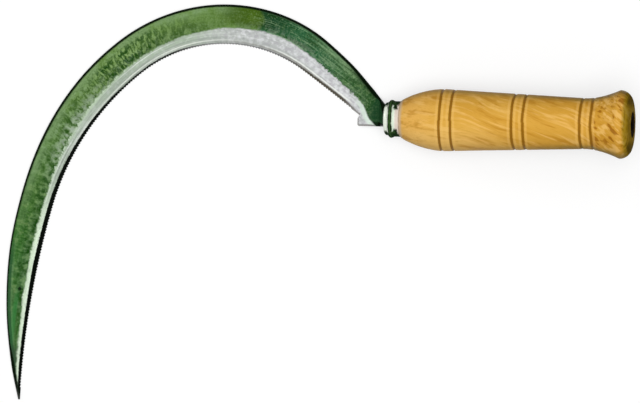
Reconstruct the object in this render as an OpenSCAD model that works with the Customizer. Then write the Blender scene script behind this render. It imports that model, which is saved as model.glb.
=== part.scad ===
// Serrated grass sickle with a one-piece steel blade and tang, a pressed ferrule,
// a turned wooden handle and a washer under the hammered end of the tang.
// Millimetres. The blade lies flat on z = 0 with its ground bevel upwards.
// +X runs along the handle as seen from above, +Y points to the back of the blade.
// The origin is on the underside of the blade's heel, in line with the handle.

/* [Cutting edge] */

// Where the cutting edge starts, measured back from the origin
edge_start_x = 6.9; // [6:0.1:9]
// How far the start of the cutting edge lies above the handle's line
edge_start_y = 3; // [1:0.5:5]
// Direction in which the edge leaves the heel, from +X
edge_heading = 142.5; // [138:0.5:147]
// Radius of the almost straight run beside the heel
heel_run_r = 1240; // [900:10:1600]
// Length of the run beside the heel
heel_run_len = 37; // [30:1:44]
// Radius of the tight bow at the top
bow_r = 72; // [65:1:80]
// Length of the bow
bow_len = 95; // [86:1:104]
// Radius of the flank below the bow
flank_r = 145; // [130:1:170]
// Length of the flank
flank_len = 90; // [80:1:100]
// Radius of the last run to the point
point_r = 485; // [400:5:700]
// Length of the last run to the point
point_len = 108; // [96:1:120]

/* [Blade widths] */

// Width of the blade across the start of the cutting edge
heel_w = 15.8; // [14:0.1:17]
// Width just past the heel
shoulder_w = 19.5; // [18:0.1:21]
// Width where the bow begins
bow_w = 21.7; // [20:0.1:24]
// Width past the top of the bow
broad_w = 21.7; // [20:0.1:24]
// Width half way along the edge
mid_w = 21.5; // [19:0.1:23]
// Width on the flank
flank_w = 18.9; // [17:0.1:21]
// Width low on the blade
low_w = 17.5; // [15:0.1:19]
// Width where the point begins to run in
nose_w = 13; // [11:0.1:15]
// Width close to the tip
point_w = 6.5; // [5:0.1:8]
// Width at the very tip
tip_w = 1; // [0.8:0.1:2]

/* [Blade section] */

// Thickness of the blade
blade_t = 2.5; // [2:0.1:3.5]
// Thickness left at the cutting edge
edge_t = 0.4; // [0.3:0.05:0.6]
// Thickness where the ground bevel meets the toothed band
band_t = 1.5; // [1.2:0.05:1.8]
// Width of the toothed band along the edge
band_w = 1.7; // [1.2:0.1:2.4]
// Width of the ground bevel at the start of the cutting edge
bevel_start_w = 5.4; // [4:0.1:6.5]
// Width of the ground bevel just past the heel
bevel_heel_w = 8.2; // [7:0.1:9]
// Greatest width of the ground bevel
bevel_broad_w = 9.2; // [8:0.1:11]
// Width of the ground bevel half way along the edge
bevel_mid_w = 7.8; // [6:0.1:9]
// Width of the ground bevel low on the blade
bevel_low_w = 6; // [5:0.1:7.5]
// Width of the ground bevel at the point
bevel_point_w = 3.8; // [3:0.1:5]
// Width of the sloped edge along the back
spine_w = 1.5; // [1:0.1:2]
// Depth of the sloped edge along the back
spine_drop = 1.1; // [0.6:0.1:1.4]

/* [Teeth] */

// Distance from tooth to tooth
tooth_pitch = 1.6; // [1.4:0.1:3]
// Depth of a tooth
tooth_depth = 0.5; // [0.4:0.05:0.9]
// Part of the pitch taken by the steep face
tooth_rake = 0.25; // [0.15:0.05:0.5]
// Plain edge left before the first tooth
plain_heel = 3; // [2:0.5:6]
// Plain edge left at the tip
plain_tip = 7; // [5:0.5:12]

/* [Heel] */

// Where the flat heel ends and the neck starts, ahead of the origin
heel_front = 5; // [4:0.1:6]
// How far the heel reaches below the handle's line
heel_drop = 4.3; // [4:0.1:5.5]
// Slope of the back along the heel, downwards from +X
heel_slope = 51; // [48:0.5:55]
// Depth of the nick between the cutting edge and the spur
nick_depth = 1.3; // [0.8:0.1:1.6]
// How far the spur sticks out past the nick
spur_out = 1; // [0.6:0.1:1.2]
// Rounding of the corner below the spur
spur_round = 1; // [0.6:0.1:1.4]

/* [Neck and tang] */

// Steepness of the neck between its two bends
neck_angle = 76; // [68:1:80]
// Radius of both bends at the middle of the metal
bend_r = 2.2; // [2:0.1:3]
// Width of the neck where it enters the ferrule
neck_w = 8; // [6:0.5:9]
// Height at which the neck has narrowed to that width
neck_taper_z = 9; // [7:0.5:10]
// Distance from the ferrule's mouth at which the upper bend ends
neck_s = 1.6; // [1.3:0.1:2]
// How far the flat of the neck reaches into the ferrule
neck_in = 2.8; // [2.4:0.1:3.2]
// Diameter of the tang inside the handle
tang_d = 5; // [4:0.1:6]
// Diameter of the hammered end of the tang
peen_d = 8; // [7.5:0.1:10]
// Height of the hammered end
peen_h = 0.8; // [0.6:0.1:1.4]

/* [Ferrule] */

// Outer radius of the front band of the ferrule
front_r = 9.1; // [8.8:0.1:9.6]
// Rounding at the front of the ferrule
front_round = 1.4; // [1:0.1:1.5]
// Radius of the raised bead
bead_r = 10.5; // [10.2:0.1:11.5]
// Distance of the bead from the front
bead_s = 3.5; // [3.4:0.1:4]
// Half the length of the bead
bead_half = 1.7; // [1.2:0.1:1.8]
// Outer radius of the rear band
rear_r = 9.8; // [9.5:0.1:10.1]
// Whole length of the ferrule
ferrule_len = 8.9; // [8:0.1:10]
// Thickness of the pressed steel
ferrule_wall = 0.8; // [0.6:0.05:1]
// Radius of the opening for the neck
mouth_r = 5.4; // [5:0.1:6]

/* [Handle] */

// Angle at which the handle rises from the blade
handle_tilt = 10; // [8:0.5:12]
// Radius of the wood where it meets the ferrule
collar_r = 10.1; // [9.9:0.1:10.8]
// Radius of the belly
belly_r = 17.1; // [15.5:0.1:18]
// Distance of the belly from the front of the ferrule
belly_s = 33.5; // [31:0.5:38]
// Radius of the waist before the pommel
waist_r = 14; // [13:0.1:15]
// Distance of the waist from the front of the ferrule
waist_s = 112; // [106:0.5:116]
// Radius of the pommel
pommel_r = 18.9; // [17:0.1:20]
// Distance of the pommel's widest place from the front of the ferrule
pommel_s = 130.5; // [127:0.1:134]
// Rounding of the pommel
pommel_round = 6.5; // [5.5:0.1:7.5]
// Length of the spigot inside the ferrule
spigot_len = 5.4; // [4.5:0.1:5.6]

/* [Scribed rings] */

// Distance of the first pair of rings from the front of the ferrule
rings_front = 35.5; // [33:0.5:38]
// Distance of the second pair
rings_mid = 75.5; // [70:0.5:80]
// Distance of the third pair
rings_rear = 113; // [110:0.5:116]
// Distance between the two rings of a pair
ring_gap = 6.2; // [5:0.1:7]
// Width of a ring
ring_w = 1.5; // [1.2:0.1:2]
// Depth of a ring
ring_depth = 0.5; // [0.3:0.05:0.7]

/* [Washer] */

// Radius of the washer
washer_r = 6.6; // [6:0.1:7.5]
// Thickness of the washer
washer_t = 1.2; // [1:0.1:1.6]

/* [Fits] */

// Clearance round the tang in the handle and in the washer
tang_clear = 0.2; // [0.1:0.05:0.4]
// Clearance between the ferrule and its spigot
ferrule_clear = 0.05; // [0.05:0.05:0.1]
// Clearance round the washer, which is let into the end of the handle
washer_clear = 0.2; // [0.1:0.05:0.3]

/* [Hidden] */

$fn = 64;

// Lap where two shapes of one piece join and where a cutter leaves a face
eps = 0.01;

// Colours as in the photograph
green_paint = [0.30, 0.46, 0.26];
bright_steel = [0.80, 0.80, 0.78];
honey_wood = [0.83, 0.62, 0.29];
black_iron = [0.13, 0.12, 0.11];

// Stations along the blade for the outline and for the ground surfaces
outline_steps = 72;
grind_steps = 44;

// Lengths of wood between two points of the handle's profile
profile_step = 2.6;

// Steps along a bend or a rounding
round_steps = 6;

// Powers that shape the handle's swell, its long taper and its flare
swell_power = 0.8;
taper_power = 1.05;
flare_power = 1.7;

// Places along the edge, as parts of its length, where the widths above hold
width_places = [0, 0.06, 0.16, 0.36, 0.48, 0.64, 0.75, 0.85, 0.94, 1];
widths = [heel_w, shoulder_w, bow_w, broad_w, mid_w, flank_w, low_w, nose_w, point_w, tip_w];

// Places and widths of the ground bevel, which never takes more than a share of the blade
bevel_places = [0, 0.04, 0.13, 0.45, 0.68, 1];
bevel_widths = [bevel_start_w, bevel_heel_w, bevel_broad_w, bevel_mid_w, bevel_low_w, bevel_point_w];
bevel_share = 0.72;
band_share = 0.45;
spine_share = 0.3;

// How far the cutters stand clear of what they cut
cut_over = 3;

// How far the neck laps into the heel, where both are flat
neck_lap = 0.6;

edge_radii = [heel_run_r, bow_r, flank_r, point_r];
edge_runs = [heel_run_len, bow_len, flank_len, point_len];
edge_len = heel_run_len + bow_len + flank_len + point_len;

// Centre of the ferrule's mouth: the neck's two bends set how far forward it is,
// and the belly of the handle just reaches the surface that the blade lies on
mouth_z = max([for (s = [ferrule_len:0.5:belly_s]) wood_r(s) * cos(handle_tilt) - s * sin(handle_tilt)]);
neck_rise = mouth_z + neck_s * sin(handle_tilt) - blade_t / 2;
bend_rise = bend_r * (1 + cos(handle_tilt) - 2 * cos(neck_angle));
bend_run = bend_r * (2 * sin(neck_angle) - sin(handle_tilt));
neck_straight = (neck_rise - bend_rise) / sin(neck_angle);
neck_run = bend_run + neck_straight * cos(neck_angle);
mouth_x = heel_front + neck_run - neck_s * cos(handle_tilt);

// The pommel's rounding runs on into a low cone, and the washer is let in flush at its middle
end_angle = 4;
cone_s = pommel_s + pommel_round * cos(end_angle);
cone_r = pommel_r - pommel_round * (1 - sin(end_angle));
seat_r = washer_r + washer_clear;
handle_end = cone_s + (cone_r - seat_r) * tan(end_angle);
seat_s = handle_end - washer_t;
bore_r = tang_d / 2 + tang_clear;
spigot_r = rear_r - ferrule_wall - ferrule_clear;
ring_places = [for (p = [rings_front, rings_mid, rings_rear]) for (k = [-0.5, 0.5]) p + k * ring_gap];

// Point and heading after length s of an arc of radius r from a point and heading p
function arc_to(p, r, s) =
    let (h = p[2] + s / r * 180 / PI)
    [p[0] + r * (sin(h) - sin(p[2])), p[1] - r * (cos(h) - cos(p[2])), h];

// Point and heading of the cutting edge at length s, run by run from run k
function edge_at(s, k = 0, p = [-edge_start_x, edge_start_y, edge_heading]) =
    k == len(edge_runs) - 1 || s <= edge_runs[k]
        ? arc_to(p, edge_radii[k], s)
        : edge_at(s - edge_runs[k], k + 1, arc_to(p, edge_radii[k], edge_runs[k]));

// Point at a distance in from the edge, seen from part u of the edge's length
function across(u, d) =
    let (p = edge_at(u * edge_len))
    [p[0] + d * sin(p[2]), p[1] - d * cos(p[2])];

// Smooth curve through values ys at places xs
function slope_at(xs, ys, i) =
    i == 0 ? (ys[1] - ys[0]) / (xs[1] - xs[0])
    : i == len(xs) - 1 ? (ys[i] - ys[i - 1]) / (xs[i] - xs[i - 1])
    : (ys[i + 1] - ys[i - 1]) / (xs[i + 1] - xs[i - 1]);
function smooth(xs, ys, x, i = 0) =
    i < len(xs) - 2 && x > xs[i + 1]
        ? smooth(xs, ys, x, i + 1)
        : let (h = xs[i + 1] - xs[i], t = (x - xs[i]) / h,
               a = slope_at(xs, ys, i) * h, b = slope_at(xs, ys, i + 1) * h,
               rise = ys[i + 1] - ys[i])
          ys[i] + t * (a + t * (3 * rise - 2 * a - b + t * (a + b - 2 * rise)));

function width_at(u) = smooth(width_places, widths, u);
function bevel_at(u) = min(smooth(bevel_places, bevel_widths, u), bevel_share * width_at(u));
function band_at(u) = min(band_w, band_share * width_at(u));
function spine_at(u) = min(spine_w, spine_share * width_at(u));

// The back of the blade from the heel to the tip
function back_line() = [for (i = [0:outline_steps]) across(i / outline_steps, width_at(i / outline_steps))];

// The cutting edge from the tip to the heel: crest and root of each tooth, steep faces
// towards the handle
teeth = floor((edge_len - plain_heel - plain_tip) / tooth_pitch);
function tooth_at(place, depth) = across((plain_heel + place * tooth_pitch) / edge_len, depth);
function tooth_line() = [
    across(1, 0),
    for (i = [teeth:-1:1]) each [tooth_at(i + tooth_rake, 0), tooth_at(i, tooth_depth)],
    tooth_at(tooth_rake, 0)
];

// The heel: start of the edge, nick, spur and foot, then the side where the neck starts
back_start = across(0, heel_w);
heel_top = back_start[1] - (heel_front - back_start[0]) * tan(heel_slope);
nick_x = -edge_start_x + nick_depth + spur_out / 2;
nick_y = edge_start_y - nick_depth;
spur_x = nick_x - spur_out;
spur_foot = spur_round - heel_drop;

// The spur is widest this part of the way from the nick down to its rounding
spur_part = 0.4;
function heel_line() = [
    across(0, 0),
    [nick_x, nick_y],
    [spur_x, nick_y + spur_part * (spur_foot - nick_y)],
    for (i = [0:round_steps])
        let (a = 180 + 90 * i / round_steps)
        [spur_x + spur_round * (1 + cos(a)), spur_foot + spur_round * sin(a)],
    [heel_front, -heel_drop],
    [heel_front, heel_top]
];

// Closed solid through equal rings of points
module skin(rings) {
    n = len(rings[0]);
    last = len(rings) - 1;
    sides = [
        for (i = [0:last - 1])
            for (k = [0:n - 1])
                let (a = i * n + k, b = i * n + (k + 1) % n)
                each [[b, a, b + n], [b + n, a, a + n]]
    ];
    start = [for (k = [0:n - 1]) k];
    end = [for (k = [n - 1:-1:0]) last * n + k];
    polyhedron([for (r = rings) each r], concat([start], sides, [end]));
}

// Point that lies past q, seen from p, by a length
function past(p, q, len) = q + (q - p) / norm(q - p) * len;

// Ring of points over the edge: the bevel, then the toothed band, which runs on past the edge
function bevel_ring(at_bevel, at_band, at_edge) =
    let (fall = (band_t - edge_t) / norm(at_edge - at_band), far = past(at_band, at_edge, cut_over))
    [
        [at_bevel[0], at_bevel[1], blade_t + eps],
        [at_band[0], at_band[1], band_t],
        [far[0], far[1], edge_t - fall * cut_over],
        [far[0], far[1], blade_t + cut_over]
    ];

// Below the edge's start the bevel turns and runs out over the heel to its foot. Its rings
// there start this far from the neck and from the origin, and fall a little towards the spur
turn_gap = 0.4;
turn_fall = 0.1;
turn_mid = [-turn_gap, turn_gap / 2];
turn_foot = [heel_front - turn_gap, -heel_drop - cut_over / 3];
function turn_ring(p) =
    bevel_ring(p, [spur_x + band_w, p[1] - turn_fall], [spur_x, p[1] - 2 * turn_fall]);
module bevel_cutter() {
    skin(concat(
        [turn_ring(turn_foot), turn_ring(turn_mid)],
        [for (i = [0:grind_steps + 1])
            let (u = i / grind_steps, v = min(u, 1))
            bevel_ring(across(u, bevel_at(v)), across(u, band_at(v)), across(u, 0))]
    ));
}

// Ring of points over the back, whose sloped edge runs on past it
function spine_ring(at_slope, at_back) =
    let (far = past(at_slope, at_back, cut_over))
    [
        [at_slope[0], at_slope[1], blade_t + eps],
        [far[0], far[1], blade_t + cut_over],
        [far[0], far[1], blade_t - spine_drop * norm(far - at_slope) / norm(at_back - at_slope)]
    ];
module spine_cutter() {
    foot = [heel_front + cos(heel_slope), heel_top - sin(heel_slope)];
    skin(concat(
        [spine_ring(foot - spine_w * [sin(heel_slope), cos(heel_slope)], foot)],
        [for (i = [1:grind_steps + 1])
            let (u = i / grind_steps, v = min(u, 1))
            spine_ring(across(u, width_at(v) - spine_at(v)), across(u, width_at(v)))]
    ));
}

module blade_plate() {
    difference() {
        linear_extrude(blade_t)
            polygon(concat(back_line(), tooth_line(), heel_line()));
        bevel_cutter();
        spine_cutter();
    }
}

// Side view of the neck: out of the heel, up between two bends and into the ferrule
function neck_line(side) =
    let (q = side * blade_t / 2,
         a = arc_to([heel_front, blade_t / 2, 0], bend_r, bend_r * neck_angle * PI / 180),
         b = [a[0] + neck_straight * cos(neck_angle), a[1] + neck_straight * sin(neck_angle)],
         ends = [for (i = [0:round_steps]) i / round_steps])
    concat(
        [[heel_front - neck_lap, blade_t / 2 - q]],
        [for (t = ends) let (h = t * neck_angle)
            [heel_front + (bend_r + q) * sin(h), blade_t / 2 + bend_r - (bend_r + q) * cos(h)]],
        [for (t = ends) let (h = neck_angle - t * (neck_angle - handle_tilt))
            [b[0] + bend_r * sin(neck_angle) - (bend_r - q) * sin(h),
             b[1] - bend_r * cos(neck_angle) + (bend_r - q) * cos(h)]],
        [[mouth_x + neck_in * cos(handle_tilt) + q * sin(handle_tilt),
          mouth_z + neck_in * sin(handle_tilt) - q * cos(handle_tilt)]]
    );

module neck() {
    start = heel_front - 2 * neck_lap;
    reach = neck_run + neck_in + cut_over;
    up = mouth_z + cut_over;
    side = neck_line(-1);
    slope_y = neck_w / 2 + neck_lap;
    intersection() {
        translate([0, heel_top + cut_over, 0])
            rotate([90, 0, 0])
                linear_extrude(heel_top + heel_drop + 2 * cut_over)
                    polygon(concat(neck_line(1), [for (i = [len(side) - 1:-1:0]) side[i]]));
        translate([start, 0, 0])
            rotate([90, 0, 90])
                linear_extrude(reach)
                    polygon([
                        [-heel_drop, -cut_over], [heel_top, -cut_over], [heel_top, blade_t],
                        [neck_w / 2, neck_taper_z], [neck_w / 2, up],
                        [-neck_w / 2, up], [-neck_w / 2, neck_taper_z], [-heel_drop, blade_t]
                    ]);
        // Seen from above, the slope of the heel runs on along the neck
        translate([0, 0, -cut_over])
            linear_extrude(up + cut_over)
                polygon([
                    [start, -heel_drop - cut_over], [start, heel_top], [heel_front, heel_top],
                    [heel_front + (heel_top - slope_y) / tan(heel_slope), slope_y],
                    [start + reach, slope_y], [start + reach, -heel_drop - cut_over]
                ]);
    }
}

// Places its children on the handle's line, with z = 0 at the ferrule's mouth
module on_handle() {
    translate([mouth_x, 0, mouth_z])
        rotate([0, 90 - handle_tilt, 0])
            children();
}

module blade() {
    color(green_paint) {
        blade_plate();
        neck();
        on_handle() {
            translate([0, 0, neck_s])
                cylinder(d = tang_d, h = handle_end - neck_s + eps);
            translate([0, 0, handle_end])
                rotate_extrude()
                    polygon(concat([[0, 0], [peen_d / 2, 0]],
                        [for (i = [1:round_steps]) let (a = 90 * i / round_steps)
                            [i == round_steps ? 0 : peen_d / 2 * cos(a), peen_h * sin(a)]]));
        }
    }
}

// Outer radius of the ferrule at distance s from its mouth
function bead_swell(s, base) =
    abs(s - bead_s) < bead_half ? (bead_r - base) * cos(90 * (s - bead_s) / bead_half) : 0;
function ferrule_line() = concat(
    [for (i = [0:round_steps]) let (a = 90 * i / round_steps)
        [front_r - front_round * (1 - sin(a)), front_round * (1 - cos(a))]],
    [for (i = [0:2 * round_steps]) let (s = bead_s + bead_half * (i / round_steps - 1),
                                        base = s < bead_s ? front_r : rear_r)
        [base + bead_swell(s, base), s]],
    [[rear_r, ferrule_len]]
);

module ferrule() {
    inner_r = rear_r - ferrule_wall;
    inner_front = front_r - ferrule_wall;
    step_s = ferrule_len - spigot_len - eps;
    color(bright_steel)
        on_handle()
            rotate_extrude()
                polygon(concat(
                    ferrule_line(),
                    [[inner_r, ferrule_len], [inner_r, step_s], [inner_front, step_s],
                     [inner_front, ferrule_wall + front_round / 2],
                     [inner_front - front_round / 2, ferrule_wall], [mouth_r, ferrule_wall], [mouth_r, 0]]
                ));
}

// Radius of the wood at distance s from the ferrule's mouth, without the scribed rings
function wood_r(s) =
    s <= belly_s
        ? let (rise = 90 * (s - ferrule_len) / (belly_s - ferrule_len))
          collar_r + (belly_r - collar_r) * pow(sin(rise), swell_power)
    : s <= waist_s
        ? waist_r + (belly_r - waist_r) * pow(1 - (s - belly_s) / (waist_s - belly_s), taper_power)
    : waist_r + (pommel_r - waist_r) * pow((s - waist_s) / (pommel_s - waist_s), flare_power);
function ring_cut(s) =
    max([for (g = ring_places) ring_depth * max(0, 1 - 2 * abs(s - g) / ring_w)]);

wood_keys = concat(
    [ferrule_len],
    [for (g = ring_places) each [g - ring_w / 2, g, g + ring_w / 2]],
    [pommel_s]
);
wood_stations = [
    for (k = [0:len(wood_keys) - 2])
        let (gap = wood_keys[k + 1] - wood_keys[k], n = ceil(gap / profile_step))
        for (i = [0:n - 1]) wood_keys[k] + gap * i / n
];

module handle() {
    color(honey_wood)
        on_handle()
            rotate_extrude()
                polygon(concat(
                    [[bore_r, ferrule_len - spigot_len], [spigot_r, ferrule_len - spigot_len],
                     [spigot_r, ferrule_len]],
                    [for (s = wood_stations) [wood_r(s) - ring_cut(s), s]],
                    [for (i = [0:round_steps]) let (a = 90 - (90 - end_angle) * i / round_steps)
                        [pommel_r - pommel_round * (1 - sin(a)), pommel_s + pommel_round * cos(a)]],
                    [[seat_r, handle_end], [seat_r, seat_s], [bore_r, seat_s]]
                ));
}

module tang_washer() {
    color(black_iron)
        on_handle()
            translate([0, 0, seat_s])
                difference() {
                    cylinder(r = washer_r, h = washer_t);
                    translate([0, 0, -cut_over])
                        cylinder(r = bore_r, h = washer_t + 2 * cut_over);
                }
}

blade();
ferrule();
handle();
tang_washer();
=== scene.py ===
"""Serrated sickle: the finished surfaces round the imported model.

The crescent, heel, neck and tang are one forging, with a ferrule, a turned handle and a washer.
Each piece is a grid of points worked out from two parameters. Lengths are metres, and the frame
is the model's own: the blade lies on z = 0 and the handle runs along +X, rising a little.
"""

import math

import bpy
import numpy as np
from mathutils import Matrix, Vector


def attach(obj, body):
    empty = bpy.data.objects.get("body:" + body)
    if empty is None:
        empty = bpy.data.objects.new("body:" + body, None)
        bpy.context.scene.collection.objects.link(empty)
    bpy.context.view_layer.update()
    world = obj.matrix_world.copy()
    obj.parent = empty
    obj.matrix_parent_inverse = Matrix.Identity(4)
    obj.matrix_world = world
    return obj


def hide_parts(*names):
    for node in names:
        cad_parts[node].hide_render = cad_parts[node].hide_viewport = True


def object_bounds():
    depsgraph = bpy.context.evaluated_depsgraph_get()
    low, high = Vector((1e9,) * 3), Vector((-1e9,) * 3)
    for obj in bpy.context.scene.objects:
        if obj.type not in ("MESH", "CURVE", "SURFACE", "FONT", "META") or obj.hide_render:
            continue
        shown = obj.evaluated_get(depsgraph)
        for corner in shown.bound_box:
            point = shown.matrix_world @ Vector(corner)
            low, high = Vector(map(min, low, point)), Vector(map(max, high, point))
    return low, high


bl_info = {
    "name": "Serrated sickle",
    "version": (1, 0, 0),
    "blender": (4, 5, 0),
    "location": "3D View > Sidebar > Sickle",
    "description": "Builds a painted, serrated sickle with a turned wooden handle",
    "category": "Object",
}

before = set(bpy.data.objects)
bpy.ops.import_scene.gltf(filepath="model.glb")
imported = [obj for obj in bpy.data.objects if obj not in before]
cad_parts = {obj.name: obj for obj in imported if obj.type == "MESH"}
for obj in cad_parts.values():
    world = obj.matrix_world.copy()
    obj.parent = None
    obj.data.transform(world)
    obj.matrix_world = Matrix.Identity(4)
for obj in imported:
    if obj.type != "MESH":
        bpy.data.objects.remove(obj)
CAD_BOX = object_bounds()
MM = 0.001


def seen(red, green, blue):
    """Linear colour of a colour that is named as it looks on a screen, each part from 0 to 255."""
    parts = np.array([red, green, blue]) / 255
    linear = np.where(parts <= 0.04045, parts / 12.92, ((parts + 0.055) / 1.055) ** 2.4)
    return tuple(float(part) for part in linear)


def length(title, text, millimetres):
    """A length that a user may change. It is written in millimetres and kept in metres."""
    return bpy.props.FloatProperty(
        name=title, description=text, default=millimetres * MM, unit="LENGTH", precision=5)


def turn(title, text, degrees):
    """An angle that a user may change."""
    return bpy.props.FloatProperty(
        name=title, description=text, default=math.radians(degrees), unit="ROTATION")


def share(title, text, default):
    """A plain number that a user may change."""
    return bpy.props.FloatProperty(name=title, description=text, default=default)


def colour(title, text, red, green, blue):
    """A colour that a user may change, written as it looks on a screen."""
    return bpy.props.FloatVectorProperty(
        name=title, description=text, default=seen(red, green, blue), subtype="COLOR", size=3,
        min=0, max=1)


class BladeSettings(bpy.types.PropertyGroup):
    """Sizes and colours of the forging."""

    start_x: length("Edge start X", "Where the cutting edge starts, from the origin", -6.9)
    start_y: length("Edge start Y", "Where the cutting edge starts, from the handle's line", 3)
    heading: turn("Edge heading", "Direction in which the edge leaves the heel", 142.5)
    heel_run_r: length("Heel run radius", "Radius of the almost straight run at the heel", 1240)
    heel_run: length("Heel run", "Length of the run at the heel", 37)
    bow_r: length("Bow radius", "Radius of the tight bow at the top", 72)
    bow: length("Bow", "Length of the bow", 95)
    flank_r: length("Flank radius", "Radius of the flank below the bow", 145)
    flank: length("Flank", "Length of the flank", 90)
    point_r: length("Point radius", "Radius of the last run to the point", 485)
    point: length("Point run", "Length of the last run to the point", 108)
    heel_w: length("Heel width", "Blade width at the start of the edge", 15.8)
    shoulder_w: length("Shoulder width", "Blade width just past the heel", 19.5)
    bow_w: length("Bow width", "Blade width where the bow begins", 21.7)
    broad_w: length("Broad width", "Blade width past the top of the bow", 21.7)
    mid_w: length("Middle width", "Blade width half way along the edge", 21.5)
    flank_w: length("Flank width", "Blade width on the flank", 18.9)
    low_w: length("Low width", "Blade width low on the crescent", 17.5)
    nose_w: length("Nose width", "Blade width where the point runs in", 13)
    point_w: length("Point width", "Blade width close to the tip", 6.5)
    tip_w: length("Tip width", "Blade width at the tip", 1)
    thick: length("Thickness", "Thickness of the blade", 2.5)
    edge_t: length("Edge thickness", "Thickness left at the cutting edge", 0.4)
    band_t: length("Band thickness", "Thickness where the bevel meets the toothed band", 1.5)
    band_w: length("Band width", "Width of the toothed band", 1.7)
    bevel_start_w: length("Bevel at the start", "Bevel width at the start of the edge", 5.4)
    bevel_heel_w: length("Bevel at the heel", "Bevel width just past the heel", 8.2)
    bevel_broad_w: length("Broadest bevel", "Greatest width of the bevel", 9.2)
    bevel_mid_w: length("Bevel in the middle", "Bevel width half way along", 7.8)
    bevel_low_w: length("Bevel low down", "Bevel width low on the blade", 6)
    bevel_point_w: length("Bevel at the point", "Bevel width at the point", 3.8)
    hollow: length("Hollow grinding", "How far the bevel dips between its two sides", 0.14)
    spine_w: length("Back slope width", "Width of the sloped edge along the back", 1.5)
    spine_drop: length("Back slope depth", "Depth of the sloped edge along the back", 1.1)
    tooth_pitch: length("Tooth pitch", "Distance from tooth to tooth", 1.6)
    tooth_depth: length("Tooth depth", "Depth of a tooth", 0.5)
    tooth_rake: share("Tooth rake", "Part of the pitch taken by the steep face", 0.25)
    plain_heel: length("Plain heel", "Plain edge before the first tooth", 3)
    plain_tip: length("Plain tip", "Plain edge left at the tip", 7)
    cut_depth: length("File cut depth", "Depth of the file cut above each tooth", 0.22)
    cut_reach: length("File cut reach", "How far a file cut runs in from the edge", 2.4)
    heel_front: length("Heel front", "Where the flat heel ends and the neck starts", 5)
    heel_drop: length("Heel drop", "How far the heel reaches below the handle's line", 4.3)
    heel_slope: turn("Heel slope", "Slope of the back along the heel", 51)
    nick: length("Nick", "Depth of the nick between the edge and the spur", 1.3)
    spur_out: length("Spur", "How far the spur sticks out past the nick", 1)
    spur_round: length("Spur rounding", "Rounding of the corner below the spur", 1)
    neck_angle: turn("Neck angle", "Steepness of the neck between its bends", 76)
    bend_r: length("Bend radius", "Radius of both bends at the middle of the metal", 2.2)
    neck_w: length("Neck width", "Width of the neck where it enters the ferrule", 8)
    neck_taper_z: length("Neck taper height", "Height at which the neck is that narrow", 9)
    neck_s: length("Neck bend end", "Where the upper bend ends, from the mouth", 1.6)
    neck_in: length("Neck reach", "How far the neck reaches into the ferrule", 2.8)
    tang_d: length("Tang diameter", "Diameter of the tang inside the handle", 5)
    peen_d: length("Hammered end", "Diameter of the hammered end of the tang", 8)
    peen_h: length("Hammered height", "Height of the hammered end", 0.8)
    chip_along: length("Chip place", "Place of the chip in the paint along the edge", 270)
    chip_inward: length("Chip depth", "Place of the chip in the paint in from the edge", 7.4)
    heel_paint: colour("Heel paint", "Paint on the heel and the neck", 46, 86, 42)
    teal_paint: colour("Teal paint", "Paint just past the heel", 48, 100, 64)
    olive_paint: colour("Olive paint", "Paint on the bow", 100, 134, 66)
    leaf_paint: colour("Leaf paint", "Paint on the flank and the point", 50, 104, 38)
    dark_paint: colour("Dark paint", "Paint in the hammered strokes", 18, 54, 2)
    pale_paint: colour("Pale paint", "Paint rubbed thin on high places", 156, 188, 140)
    # Partly painted shade: the dark edge also stands for the shade on the back slope
    edge_scale_and_shade: colour("Dark edge", "Bare scale and dirt along the back", 8, 22, 6)
    lilac_steel: colour("Lilac steel", "Ground steel from the heel to the bow", 204, 206, 207)
    green_steel: colour("Green steel", "Ground steel on the flank", 166, 182, 162)
    # Painted highlight: this pale steel on the point stands for the light that the bevel catches
    bright: colour("Bright steel", "Freshly ground steel", 220, 238, 212)


class FerruleSettings(bpy.types.PropertyGroup):
    """Sizes and colours of the ferrule."""

    front_r: length("Front radius", "Outer radius of the front band", 9.1)
    front_round: length("Front rounding", "Rounding at the front", 1.4)
    bead_r: length("Bead radius", "Radius of the raised bead", 10.5)
    bead_s: length("Bead place", "Distance of the bead from the front", 3.5)
    bead_half: length("Half bead", "Half the length of the bead", 1.7)
    rear_r: length("Rear radius", "Outer radius of the rear band", 9.8)
    long: length("Length", "Whole length of the ferrule", 8.9)
    wall: length("Wall", "Thickness of the pressed steel", 0.8)
    mouth_r: length("Mouth radius", "Radius of the opening for the neck", 5.4)
    paint_shift: length("Paint shift", "How far behind the bead's middle its paint lies", 0.35)
    steel: colour("Steel", "Bright pressed steel", 238, 244, 230)
    rear_steel: colour("Rear steel", "Duller steel beside the wood", 222, 210, 198)
    paint: colour("Paint", "Paint carried over from the blade", 66, 98, 52)
    # Painted shade: this dark green also darkens the ferrule's sides and underside
    dark: colour("Dark paint", "Paint and dirt in the corners", 12, 38, 8)


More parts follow.
